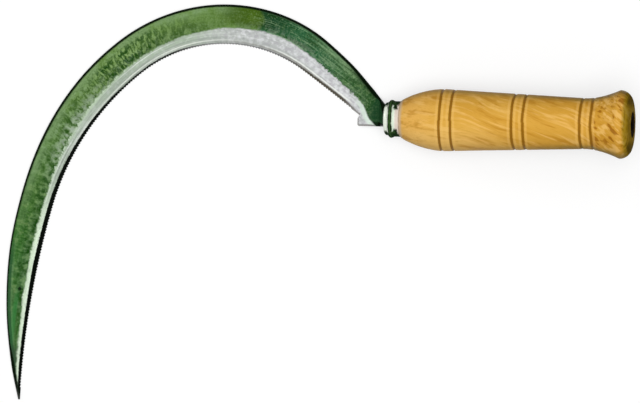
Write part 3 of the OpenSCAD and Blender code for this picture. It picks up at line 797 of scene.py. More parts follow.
def handle_grid(blade, ferrule, handle, washer):
    """The turned handle: swell, taper, flare and rounded pommel outside, the low cone at its
    end with the washer's seat, the bore for the tang and the spigot inside the ferrule."""
    seat_soft = 0.3 * MM
    cone_s, cone_r, seat_r, rim_s, seat_s = handle_end(handle, washer)
    bore = blade.tang_d / 2 + handle.tang_clear
    spigot = ferrule.rear_r - ferrule.wall - handle.spigot_clear
    shelf = ferrule.long - handle.spigot
    outer = np.linspace(ferrule.long, handle.pommel_s, WOOD_POINTS)
    turn_in = stops(math.pi / 2, handle.end_angle, POMMEL_POINTS)
    inner = [shelf, shelf, ferrule.long]
    s = np.concatenate([inner, outer, handle.pommel_s + handle.pommel_round * np.cos(turn_in),
                        stops(cone_s, rim_s, CONE_POINTS), [rim_s - seat_soft, seat_s, seat_s]])
    radius = np.concatenate([[bore, spigot, spigot], wood_radius(handle, ferrule, outer),
                             handle.pommel_r - handle.pommel_round * (1 - np.sin(turn_in)),
                             stops(cone_r, seat_r, CONE_POINTS), [seat_r, seat_r, bore]])
    number = np.arange(len(s)) - len(inner)
    outside = (number >= 0) & (number < len(outer) + len(turn_in))

    def relief(place, angle):
        """Scribed rings, chatter left by the turning tool and the flats of long use."""
        rings = handle.ring_depth * ring_wave(handle, place, angle)[0]
        marks = CHATTER.hollows(place, angle) + WORN.hollows(place, angle) - rings
        return marks * outside[:, None]
    points, along, angle = turned(s, radius, HANDLE_STEPS, relief)
    values = {"along": along, "ring_gap": ring_wave(handle, along, angle)[1],
              "up": np.cos(angle), "reach": np.hypot(points[..., 1], points[..., 2])}
    return {"points": on_handle(points, blade, ferrule, handle), "closed": True, "values": values}


def washer_grid(blade, ferrule, handle, washer):
    """The washer: a thick ring with rounded corners that the hammered end has dished a little."""
    soft = 0.3 * MM
    _, _, _, _, seat_s = handle_end(handle, washer)
    hole, rim, thick = blade.tang_d / 2 + handle.tang_clear, washer.radius, washer.thick
    angle = np.linspace(math.pi / 2, 0, RIM_POINTS)
    flat = np.linspace(hole + soft, rim - soft, FLAT_POINTS)
    radius = np.concatenate([[hole, hole], flat, rim - soft + soft * np.cos(angle), [rim, rim]])
    s = seat_s + np.concatenate([[0, thick - soft], np.full(len(flat), thick),
                                 thick - soft + soft * np.sin(angle), [thick / 2, 0]])

    def knocks(place, angle):
        """An outline that was cut by hand."""
        return -HAND_CUT.bumps(place, angle)
    points, _, _ = turned(s, radius, WASHER_STEPS, knocks)
    dish = DISHED.bumps(points[..., 1], points[..., 2])
    points[..., 0] -= dish * step(points[..., 0], seat_s, seat_s + thick)
    return {"points": on_handle(points, blade, ferrule, handle), "closed": True, "values": {}}


# Meshes

SHARP_ANGLE = math.radians(32)


def grid_faces(rows, columns, closed):
    """Faces between neighbouring rows and columns of a grid. Each row is a closed loop, and a
    grid whose rows aren't closed too gets one many-sided face at each end."""
    first, second = np.meshgrid(np.arange(rows if closed else rows - 1), np.arange(columns),
                                indexing="ij")
    below, right = (first + 1) % rows, (second + 1) % columns
    corners = np.stack([first * columns + second, below * columns + second,
                        below * columns + right, first * columns + right], -1)
    faces = corners.reshape(-1, 4).tolist()
    if not closed:
        faces.append(list(range(columns)))
        faces.append(list(range(rows * columns - 1, (rows - 1) * columns - 1, -1)))
    return faces


def points_outwards(points, closed):
    """Whether the faces of a grid point outwards: the sum of the boxed-in volumes, a third of
    each corner times its face's area, is positive."""
    a, b = points, np.roll(points, -1, 0)
    c, d = np.roll(b, -1, 1), np.roll(a, -1, 1)
    if not closed:
        a, b, c, d = a[:-1], b[:-1], c[:-1], d[:-1]
    middle = points.reshape(-1, 3).mean(0)
    return float(((a - middle) * np.cross(c - a, d - b)).sum()) > 0


def build_piece(name, grids, finishes, node):
    """One object from its grids, each with its own finish and its values as attributes. It stands
    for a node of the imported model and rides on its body."""
    names = sorted({key for grid in grids for key in grid["values"]})
    points, faces, indices = [], [], []
    values = {key: [] for key in names}
    for index, grid in enumerate(grids):
        rows, columns, _ = grid["points"].shape
        made = grid_faces(rows, columns, grid["closed"])
        if not points_outwards(grid["points"], grid["closed"]):
            made = [face[::-1] for face in made]
        count = sum(len(part) for part in points)
        faces += [[corner + count for corner in face] for face in made]
        indices += [index] * len(made)
        points.append(grid["points"].reshape(-1, 3))
        for key in names:
            values[key].append(np.broadcast_to(grid["values"].get(key, 0), (rows, columns)).ravel())
    mesh = bpy.data.meshes.new(name)
    mesh.from_pydata(np.clip(np.concatenate(points), *CAD_BOX).tolist(), [], faces)
    for finish in finishes:
        mesh.materials.append(finish)
    mesh.polygons.foreach_set("material_index", np.array(indices, np.int32))
    for key in names:
        attribute = mesh.attributes.new(key, "FLOAT", "POINT")
        attribute.data.foreach_set("value", np.concatenate(values[key]).astype(np.float32))
    mesh.shade_smooth()
    mesh.set_sharp_from_angle(angle=SHARP_ANGLE)
    mesh.update()
    piece = bpy.data.objects.new(name, mesh)
    bpy.context.scene.collection.objects.link(piece)
    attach(piece, "root")
    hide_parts(node)


# Materials

NOISE_ROUGHNESS = 0.55
NOISE_MIDDLE = 0.5
WHITE = (1, 1, 1)


class Value:
    """A number or a colour in a node tree. The signs + - * and abs() join values by nodes."""

    def __init__(self, tree, socket):
        self.tree = tree
        self.socket = socket

    def math(self, operation, other=0.0):
        """Result of an operation on this number and another."""
        return self.tree.add("ShaderNodeMath", {0: self, 1: other}, operation=operation)

    def __add__(self, other):
        return self.math("ADD", other)

    def __sub__(self, other):
        return self.math("SUBTRACT", other)

    def __mul__(self, other):
        return self.math("MULTIPLY", other)

    def __abs__(self):
        return self.math("ABSOLUTE")

    def larger(self, other):
        """The larger of two numbers."""
        return self.math("MAXIMUM", other)

    def step(self, start, end, low=0.0, high=1.0):
        """Smooth step from low, where this number is at the start, to high at the end."""
        inputs = {"Value": self, "From Min": start, "From Max": end, "To Min": low, "To Max": high}
        return self.tree.add("ShaderNodeMapRange", inputs, interpolation_type="SMOOTHSTEP")

    def near(self, middle, half, soft):
        """1 where this number is within half of the middle. It falls to 0 over a soft margin."""
        return abs(self - middle).step(half + soft, half)

    def ramp(self, stops):
        """Colour or number read from stops of (place, colour or number)."""
        read = self.tree.add("ShaderNodeValToRGB", {0: self})
        elements = read.socket.node.color_ramp.elements
        while len(elements) < len(stops):
            elements.new(1)
        for element, (place, tone) in zip(elements, stops):
            element.position = place
            element.color = (*tone, 1.0) if np.ndim(tone) else (tone, tone, tone, 1.0)
        return read

    def lay(self, tone, amount):
        """This colour with a tone laid over it, by an amount from 0 to 1."""
        return self.tree.mix(amount, self, tone)

    def flecked(self, noise, share, *flecks):
        """This colour with flecks laid over it. Each is a tone, where in the noise it sets in,
        where it is full, and its strength there, which the share scales."""
        skin = self
        for tone, start, full, strength in flecks:
            skin = skin.lay(tone, noise.step(start, full) * share * strength)
        return skin


class Tree:
    """The nodes of a material or of a world under construction."""

    def __init__(self, holder):
        holder.use_nodes = True
        self.holder = holder
        self.nodes = holder.node_tree.nodes
        self.links = holder.node_tree.links

    def feed(self, socket, value):
        """Links a value to an input, or sets the input to a number or a colour."""
        if isinstance(value, Value):
            self.links.new(value.socket, socket)
        elif socket.type == "RGBA":
            socket.default_value = (*value, 1.0)
        else:
            socket.default_value = value

    def add(self, kind, inputs, output=0, **choices):
        """Output of a new node of a kind, with its choices made and its inputs fed."""
        node = self.nodes.new(kind)
        for key, value in choices.items():
            setattr(node, key, value)
        for key, value in inputs.items():
            self.feed(node.inputs[key], value)
        return Value(self, node.outputs[output])

    def attribute(self, name):
        """A number that the mesh carries at its points."""
        return self.add("ShaderNodeAttribute", {}, "Fac", attribute_name=name)

    def place(self):
        """Where a point of the piece lies."""
        return self.add("ShaderNodeTexCoord", {}, "Object")

    def vector(self, x, y, z=0.0):
        """A vector from its three parts."""
        return self.add("ShaderNodeCombineXYZ", {0: x, 1: y, 2: z})

    def length(self, x, y, z=0.0):
        """Length of a vector from its three parts."""
        return self.add("ShaderNodeVectorMath", {0: self.vector(x, y, z)}, "Value", operation="LENGTH")

    def noise(self, where, scale, detail=3.0, twist=0.0):
        """Even noise from 0 to 1 round its middle."""
        inputs = {"Vector": where, "Scale": scale, "Detail": detail, "Roughness": NOISE_ROUGHNESS,
                  "Distortion": twist}
        return self.add("ShaderNodeTexNoise", inputs, "Fac")

    def drawn(self, x, y, x_scale, y_scale, detail=3.0, shift=0.0, twist=0.0):
        """Noise on a surface that is scaled apart in its two directions."""
        return self.noise(self.vector(x * x_scale, y * y_scale, shift), 1.0, detail, twist)

    def mix(self, amount, first, second):
        """Colour between two, by an amount from 0 to 1."""
        inputs = {0: amount, 6: first, 7: second}
        return self.add("ShaderNodeMix", inputs, 2, data_type="RGBA")

    def shade(self, skin, rough, height, metal, gloss, depth, strength):
        """Feeds a material's shader, with a bump of a height over a depth in metres."""
        inputs = {"Height": height, "Distance": depth, "Strength": strength}
        bump = self.add("ShaderNodeBump", inputs)
        fed = {"Base Color": skin, "Roughness": rough, "Specular IOR Level": gloss,
               "Metallic": metal, "Normal": bump}
        for key, value in fed.items():
            self.feed(self.nodes["Principled BSDF"].inputs[key], value)
        return self.holder

    def white_to_the_eye(self, plain, white, output):
        """Shows the white shader to rays from the camera, mirrors and glass, and the plain one
        to the rest."""
        camera, mirror, glass = (self.add("ShaderNodeLightPath", {}, f"Is {kind} Ray")
                                 for kind in ("Camera", "Glossy", "Transmission"))
        direct = camera.larger(mirror).larger(glass)
        chosen = self.add("ShaderNodeMixShader", {0: direct, 1: plain, 2: white})
        self.feed(self.nodes[output].inputs["Surface"], chosen)
        return self.holder


# Places along the edge, as shares of its length, where the paint and the ground steel change
TEAL_FROM, TEAL_TO, OLIVE_FROM, OLIVE_TO, LEAF_FROM = 0.09, 0.2, 0.207, 0.5, 0.76
LILAC_TO, GREEN_FROM, GREEN_TO, BRIGHT_FROM = 0.24, 0.31, 0.62, 0.72
# Tone of the toothed band, black scale with painted light and shade: brown at the heel,
# bright on the bow and black lower down
BAND_SCALE_AND_SHADE = (
    (0, seen(150, 148, 146)), (0.03, seen(92, 88, 78)), (0.1, seen(80, 76, 64)),
    (0.17, seen(120, 120, 120)), (0.27, seen(130, 130, 130)), (0.34, seen(44, 48, 44)),
    (0.46, seen(14, 18, 14)), (1, seen(6, 10, 6)),
)
# Widths of the toothed band and of the dark edge along the back, as shares of SHARED_WIDTH.
# Both are partly painted shade
SHARED_WIDTH = 3 * MM
BAND_WIDTHS = (
    (0, 0.3), (0.03, 0.58), (0.08, 0.5), (0.14, 0.36), (0.2, 0.28), (0.27, 0.25), (0.33, 0.42),
    (0.43, 0.44), (0.5, 0.62), (0.6, 0.8), (0.7, 0.92), (0.78, 0.95), (0.84, 0.78), (0.94, 0.7),
    (1, 0.5),
)
RIM_WIDTHS = (
    (0, 0.74), (0.04, 0.54), (0.12, 0.5), (0.2, 0.44), (0.27, 0.42), (0.33, 0.42), (0.58, 0.44),
    (0.64, 0.38), (0.74, 0.28), (0.86, 0.2), (0.91, 0.3), (0.94, 0.56), (0.98, 0.56), (1, 0.4),
)
# How far the ground steel ends from its ridge, as a share of SHARED_WIDTH: towards the back
# above a half
EDGE_SHIFTS = (
    (0, 0.5), (0.02, 0.32), (0.035, 0.18), (0.065, 0.13), (0.1, 0.22), (0.13, 0.42), (0.17, 0.74),
    (0.21, 0.58), (0.25, 0.46), (0.28, 0.2), (0.3, 0.1), (0.37, 0.06), (0.4, 0.15), (0.44, 0.28),
    (0.48, 0.38), (0.52, 0.3), (0.66, 0.12), (0.76, 0.46), (0.88, 0.24), (0.93, 0.22), (1, 0.42),
)
# How far that boundary strays
WANDER_SHARES = (
    (0, 0.1), (0.03, 0.7), (0.08, 0.6), (0.12, 0.15), (0.3, 0.15), (0.42, 0.5), (0.6, 1),
    (0.66, 0.4), (1, 0.1),
)
# How strong the cross strokes, the streaks along the blade and the specks show in the paint
STROKE_SHARES = (
    (0, 0.3), (0.09, 0.1), (0.27, 0.1), (0.33, 0.25), (0.37, 0.8), (0.41, 1), (0.47, 1),
    (0.53, 0.4), (0.8, 0.3), (0.86, 0),
)
STREAK_SHARES = ((0, 0.5), (0.1, 0.9), (0.19, 0.9), (0.22, 0.15), (0.84, 0.2), (0.88, 0.5))
SPECK_SHARES = (
    (0, 0.4), (0.19, 0.4), (0.22, 0.2), (0.34, 0.2), (0.38, 0.4), (0.48, 0.4), (0.54, 0.2),
    (0.86, 0.15),
)
# How far the paint is rubbed away and how dark it lies beside the ground steel
RUBBED_SHARES = (
    (0, 0.1), (0.1, 0.1), (0.14, 0.35), (0.18, 0.3), (0.24, 0.05), (0.42, 0.15), (0.48, 0.6),
    (0.55, 1), (0.6, 0.5), (0.64, 0.1), (0.84, 0.15), (0.88, 0),
)
PITCH_SHARES = (
    (0.26, 0.1), (0.3, 0.8), (0.36, 1), (0.44, 1), (0.48, 0.1), (0.6, 0.2), (0.64, 0.9),
    (0.8, 0.9), (0.9, 0.6),
)
# How pale the paint is near the back
HIGH_SHARES = (
    (0, 0), (0.03, 0.2), (0.06, 0.5), (0.1, 0.35), (0.14, 0), (0.23, 0), (0.27, 0.36),
    (0.6, 0.36), (0.64, 0.3), (0.69, 0.1), (0.8, 0.12),
)
# How strong the long grinding marks and the burnished line show in the steel
GRIND_SHARES = ((0, 0.45), (0.24, 0.3), (0.33, 1), (0.6, 0.9), (0.68, 0.4), (1, 0.2))
LINE_SHARES = ((0, 0.75), (0.14, 0.6), (0.2, 0), (0.3, 0.5), (0.5, 0.4), (0.6, 0))

# How much the cross strokes slant, and how far the changes of tone stray along the edge
STROKE_SLANT, TONE_STRAY = 0.14, 0.03

# Tones laid over the paint
HEEL_END = seen(58, 102, 56)
SHADED = seen(16, 56, 32)
BLOTTED = seen(72, 102, 22)
PITCH = seen(26, 66, 2)
STRUCK_DARK = seen(12, 62, 0)
STRUCK_LIGHT = seen(142, 174, 108)
SMOOTH_TIP = seen(48, 120, 56)
BACK_LINE_LIGHT = seen(104, 142, 100)
BACK_LINE_DARK = seen(38, 80, 48)
CHIPPED = seen(8, 30, 10)
DULL_TIP = seen(48, 70, 50)
# Painted shade on the neck, along the heel's back and on its foot
NECK_SHADE = seen(18, 62, 34)
HEEL_BACK_SHADE = seen(6, 34, 8)
FOOT_SHADE = seen(6, 26, 8)
MINT_EDGE = seen(214, 230, 216)
# Tones laid over the ground steel
COLD_STEEL = seen(190, 193, 192)
GREY_STEEL = seen(184, 188, 185)
GRIND_DARK = seen(128, 134, 130)
GRIND_LIGHT = seen(232, 238, 232)
MOTTLE_DARK = seen(164, 160, 168)
MOTTLE_LIGHT = seen(226, 226, 230)
SCUFFED = seen(140, 148, 140)
BURNISHED = seen(240, 244, 236)
UNDER_LINE = seen(130, 124, 112)
RIDGE_SHINE = seen(196, 222, 184)
SPUR_GREY = seen(112, 116, 112)


class BladeMarks:
    """What the paint and the steel are worked out from: where a point lies, with u as its share
    of the edge's length, and the noise of strokes, dabs, streaks, blotches and specks."""

    def __init__(self, tree, total):
        self.tree = tree
        self.along, self.inward = tree.attribute("along"), tree.attribute("inward")
        self.ground, self.rim = tree.attribute("ground"), tree.attribute("rim")
        self.u = self.along.math("DIVIDE", total)
        place = tree.place()
        slanted = self.along + self.inward * STROKE_SLANT
        self.strokes = tree.drawn(slanted, self.inward, 680, 280, detail=1, twist=0.5)
        self.dabs = tree.drawn(self.along, self.inward, 330, 240, detail=2, shift=7)
        self.streaks = tree.drawn(self.along, self.inward, 55, 850, detail=2, shift=4)
        self.gusts = tree.drawn(self.along, self.inward, 60, 60, detail=1, shift=2)
        self.grind = tree.drawn(self.along, self.inward, 30, 1100, detail=3, shift=9)
        self.scuffs = tree.drawn(self.along, self.inward, 260, 420, detail=3, shift=5)
        self.blotches = tree.noise(place, 120, detail=4)
        self.mottle = tree.noise(place, 420, detail=2)
        self.specks = tree.noise(place, 1100, detail=3)
        self.ragged = self.u + (self.blotches - NOISE_MIDDLE) * TONE_STRAY


def toned_paint(blade, at):
    """The paint's tone along the blade, with its shade, blotches, pitch and pale back."""
    u, ragged, ground = at.u, at.ragged, at.ground
    paint = ragged.ramp((
        (0, blade.heel_paint), (0.05, HEEL_END), (TEAL_FROM, blade.teal_paint),
        (TEAL_TO, blade.teal_paint), (OLIVE_FROM, blade.olive_paint),
        (OLIVE_TO, blade.olive_paint), (LEAF_FROM, blade.leaf_paint)))
    shaded = u.step(0.14, 0.19) * ragged.step(0.211, 0.199) * ground.step(-1 * MM, -5 * MM)
    paint = paint.lay(SHADED, shaded * 0.8)
    blot = ragged.near(0.218, 0.016, 0.04) * ground.step(-1 * MM, -4 * MM)
    paint = paint.lay(BLOTTED, blot * ragged.step(0.196, 0.206))
    cloud = at.blotches.step(0.42, 0.6) * u.step(0.02, 0.06)
    paint = paint.lay(blade.dark_paint, cloud * 0.2)
    pitch = ground.step(-7 * MM, -1 * MM) * u.ramp(PITCH_SHARES) * at.dabs.step(0.36, 0.56)
    paint = paint.lay(PITCH, pitch * 0.75)
    high = at.rim.step(8 * MM, 2 * MM) * at.blotches.step(0.3, 0.55)
    return paint.lay(blade.pale_paint, high * u.ramp(HIGH_SHARES))


def struck_paint(blade, at, paint):
    """The paint with streaks along it, hammer strokes and dabs across it, rubbed places and
    specks."""
    u, ground, dark, pale = at.u, at.ground, blade.dark_paint, blade.pale_paint
    paint = paint.flecked(
        at.streaks, u.ramp(STREAK_SHARES), (dark, 0.5, 0.62, 0.7), (pale, 0.48, 0.36, 0.4))
    reach = ground.near(-4.5 * MM, 3 * MM, 3.2 * MM)
    struck = u.ramp(STROKE_SHARES) * reach * at.gusts.step(0.34, 0.54, 0.5, 1)
    paint = paint.lay(STRUCK_DARK, at.strokes.step(0.49, 0.54) * struck * 0.95)
    light = u.step(0.6, 0.68, 0.7, 0.35)
    light_tone = at.tree.mix(u.step(0.46, 0.5) * u.step(0.66, 0.6), STRUCK_LIGHT, pale)
    paint = paint.lay(light_tone, at.strokes.step(0.46, 0.41) * struck * light)
    dabbed = u.step(0.45, 0.53) * u.step(0.88, 0.82)
    dark_dabs = at.dabs.step(0.5, 0.64) * dabbed * ground.step(-9 * MM, -3 * MM, 0.2, 0.7)
    paint = paint.lay(STRUCK_DARK, dark_dabs)
    paint = paint.lay(light_tone, at.dabs.step(0.46, 0.36) * dabbed * 0.25)
    rubbed = ground.step(-7 * MM, -0.3 * MM) * u.ramp(RUBBED_SHARES) * at.dabs.step(0.6, 0.42)
    paint = paint.lay(blade.green_steel, rubbed * 0.85)
    return paint.flecked(
        at.specks, u.ramp(SPECK_SHARES), (dark, 0.53, 0.66, 1), (pale, 0.46, 0.34, 0.6))


def paint_tone(blade, at):
    """Green paint: struck paint with a smooth patch, two lines and a chip near the tip, and
    darker paint on the tip, with painted shade on the neck, the heel's back and its foot."""
    u, along, inward, rim = at.u, at.along, at.inward, at.rim
    paint = struck_paint(blade, at, toned_paint(blade, at))
    smooth_tip = u.near(0.88, 0.03, 0.04) * at.ground.near(-3.4 * MM, 0.5 * MM, 1.4 * MM)
    paint = paint.lay(SMOOTH_TIP, smooth_tip * 0.7)
    low = u.step(0.72, 0.79)
    paint = paint.lay(BACK_LINE_LIGHT, low * rim.near(2.8 * MM, 0.3 * MM, 0.5 * MM) * 0.2)
    paint = paint.lay(BACK_LINE_DARK, low * rim.near(1.4 * MM, 0.7 * MM, 0.5 * MM) * 0.75)
    off_chip = at.tree.length(along - blade.chip_along, inward - blade.chip_inward)
    off_chip = off_chip + at.specks * (1.2 * MM)
    paint = paint.lay(CHIPPED, off_chip.step(1.9 * MM, 1.3 * MM))
    paint = paint.lay(DULL_TIP, u.step(0.905, 0.925) * 0.8)
    # Painted shade on the neck under the ferrule's lip, along the heel's back and on its foot
    paint = paint.lay(NECK_SHADE, along.step(-2 * MM, -5 * MM, 0, 0.75))
    at_heel = along.step(22 * MM, 10 * MM) * along.step(-6 * MM, -2 * MM)
    paint = paint.lay(HEEL_BACK_SHADE, rim.step(4.6 * MM, 1.4 * MM) * at_heel * 0.85)
    foot = along.step(-3.5 * MM, -5 * MM) * inward.step(3.2 * MM, 1.6 * MM)
    return paint.lay(FOOT_SHADE, foot * 0.9)


def steel_tone(blade, at):
    """Ground steel: mottled lilac at the heel, drawn out in grey-green lines on the flank and
    pale at the point with a painted highlight, and a burnished line over the teeth."""
    u, along, inward = at.u, at.along, at.inward
    steel = u.ramp((
        (0, blade.lilac_steel), (0.12, blade.lilac_steel), (0.16, COLD_STEEL),
        (LILAC_TO, GREY_STEEL), (GREEN_FROM, blade.green_steel), (GREEN_TO, blade.green_steel),
        (BRIGHT_FROM, blade.bright)))
    steel = steel.flecked(
        at.grind, u.ramp(GRIND_SHARES), (GRIND_DARK, 0.5, 0.64, 0.5), (GRIND_LIGHT, 0.48, 0.37, 0.6))
    steel = steel.flecked(
        at.mottle, u.step(0.32, 0.22, 0.35, 1),
        (MOTTLE_DARK, 0.5, 0.62, 0.5), (MOTTLE_LIGHT, 0.48, 0.36, 0.5))
    steel = steel.lay(SCUFFED, at.scuffs.step(0.52, 0.68, 0, 0.3))
    low = inward.step(5 * MM, 3.4 * MM) * u.step(0.06, 0.12) * u.step(0.7, 0.6)
    steel = steel.lay(SCUFFED, low * 0.3)
    line = inward.near(2.5 * MM, 0.15 * MM, 0.5 * MM) * along.step(2 * MM, 8 * MM)
    steel = steel.lay(BURNISHED, line * u.ramp(LINE_SHARES))
    under_line = inward.near(1.7 * MM, 0.15 * MM, 0.4 * MM) * u.step(0.02, 0.05)
    steel = steel.lay(UNDER_LINE, under_line * u.step(0.3, 0.14) * 0.5)
    shine = at.ground.step(2.2 * MM, 0.4 * MM) * u.step(0.28, 0.36) * u.step(0.8, 0.6, 0.3, 0.5)
    steel = steel.lay(RIDGE_SHINE, shine)
    spur = along.step(0.5 * MM, -0.8 * MM) * inward.step(1.5 * MM, 0.4 * MM)
    return steel.lay(SPUR_GREY, spur * 0.8)


def painted_steel(blade, total):
    """Satin green paint, hammered and rubbed, over steel that is bright where it is ground and
    black on the toothed band and along the back, with scale and painted shade there."""
    tree = Tree(bpy.data.materials.new("painted_blade"))
    at = BladeMarks(tree, total)
    u, along, ground = at.u, at.along, at.ground

    stray = (at.strokes - NOISE_MIDDLE) * u.ramp(WANDER_SHARES) * (5 * MM)
    slow = (tree.drawn(along, 0.0, 75, 1, detail=1, shift=3) - NOISE_MIDDLE) * (1.6 * MM)
    chips = (at.dabs - NOISE_MIDDLE) * u.step(0, 0.03, 0.3, 1.6) * MM
    shift = (u.ramp(EDGE_SHIFTS) - 0.5) * SHARED_WIDTH
    bare = (ground + stray + slow + chips + shift).step(-0.8 * MM, 0.4 * MM)
    skin = tree.mix(bare, paint_tone(blade, at), steel_tone(blade, at))
    mint = ground.near(0.8 * MM, 0.8 * MM, 1.2 * MM) * along.step(7 * MM, 0) * bare
    skin = skin.lay(MINT_EDGE, mint * 0.8)

    # The toothed band and the dark edge along the back: black scale and painted shade
    ragged = (at.specks - NOISE_MIDDLE) * (0.8 * MM)
    past_band = at.inward + ragged - u.ramp(BAND_WIDTHS) * SHARED_WIDTH
    on_band = past_band.step(0.3 * MM, -0.2 * MM) * ground.step(0, 0.3 * MM)
    skin = skin.lay(u.ramp(BAND_SCALE_AND_SHADE), on_band)
    past_rim = at.rim + ragged - u.ramp(RIM_WIDTHS) * SHARED_WIDTH
    on_rim = past_rim.step(0.5 * MM, -0.3 * MM)
    skin = skin.lay(blade.edge_scale_and_shade, on_rim)

    metal = (bare * 0.45).larger(on_band).larger(on_rim)
    rough = at.specks.step(0.3, 0.7, 0.46, 0.6) - bare * 0.12
    peel = at.specks * 0.5 + at.strokes * u.ramp(STROKE_SHARES) + at.grind * bare
    return tree.shade(skin, rough, peel, metal, gloss=0.07, depth=0.08 * MM, strength=0.7)


# Noise steps of the drawing lines, per metre along the ferrule and per radius round it
LINES_ALONG, LINES_ROUND = 2600, 2
# Tones laid over the ferrule
DRAWN_STEEL = seen(198, 206, 192)
BESIDE_BEAD = seen(208, 232, 206)
WOOD_DUST = seen(206, 180, 150)


def pressed_steel(ferrule):
    """Bright pressed steel, with paint left on the bead, and dark green down the sides and
    underneath as painted shade.
    """
    tree = Tree(bpy.data.materials.new("ferrule_steel"))
    along, side, up = (tree.attribute(name) for name in ("along", "side", "up"))
    place, bead = tree.place(), ferrule.bead_s
    specks = tree.noise(place, 900)
    blotches = tree.noise(place, 300)
    uneven = blotches - NOISE_MIDDLE
    round_it = tree.vector(along * LINES_ALONG, side * LINES_ROUND, up * LINES_ROUND)
    lines = tree.noise(round_it, 1, detail=2)
    steel = tree.mix(lines.step(0.4, 0.65, 0, 0.3), ferrule.steel, DRAWN_STEEL)
    steel = steel.lay(ferrule.rear_steel, along.step(bead + 2.6 * MM, bead + 3.6 * MM))
    steel = steel.lay(BESIDE_BEAD, along.near(bead + 2 * MM, 0.3 * MM, 0.5 * MM) * 0.6)

    off_bead = abs(along - (bead + ferrule.paint_shift)) + uneven * MM
    sideways = abs(side) + uneven * 0.4
    # Painted shade: dark green down the sides and underneath
    shaded_sides = sideways.step(0.7, 0.82).larger(up.step(0.1, -0.2))
    above = side + uneven * 0.4
    strayed = along + uneven * (2.4 * MM) + sideways * (1.6 * MM)
    runs = above.step(0.42, 0.58).larger(above.step(-0.52, -0.68))
    runs = runs * strayed.near(bead + 4.2 * MM, 0.7 * MM, 0.8 * MM)
    painted = off_bead.step(1.4 * MM, 0.8 * MM).larger(shaded_sides).larger(runs)
    crest = off_bead.step(0.5 * MM, 0.1 * MM)
    paint = tree.mix(crest * 0.6, ferrule.dark, ferrule.paint)
    paint = paint.lay(ferrule.paint, blotches.step(0.5, 0.62) * sideways.step(0.9, 0.75, 0.25, 0.7))
    skin = steel.lay(paint, painted)
    seam = along.step(ferrule.long - 0.7 * MM, ferrule.long - 0.2 * MM)
    skin = skin.lay(WOOD_DUST, seam * 0.5)
    rough = specks.step(0.3, 0.7, 0.26, 0.44) + painted * 0.4
    metal = painted * -0.5 + 0.5
    return tree.shade(skin, rough, lines + specks, metal, gloss=0.05, depth=0.03 * MM, strength=0.5)


# How much more the fibres slant along the handle, per metre, and how far they wander
FIBRE_SLANT, FIBRE_WANDER = 2.4, 12 * MM
# Noise steps per metre across the year rings, and how far the rings waver
RING_RATE, RING_WAVER = 900, 3 * MM
# Tones laid over the wood
# Painted light on the front of the swell and on the near flank
LIT_FRONT_WOOD = seen(248, 192, 104)
LIT_FLANK_WOOD = seen(250, 204, 120)
HOLLOW = seen(156, 92, 0)
LIP = seen(216, 192, 162)
# Painted shade on the pommel's rim and on the wood's sides and lower half
POMMEL_SHADE = seen(150, 126, 14)
WOOD_SHADE = seen(112, 92, 0)
YEAR_RING = seen(88, 56, 6)
IRON_STAIN = seen(30, 22, 6)


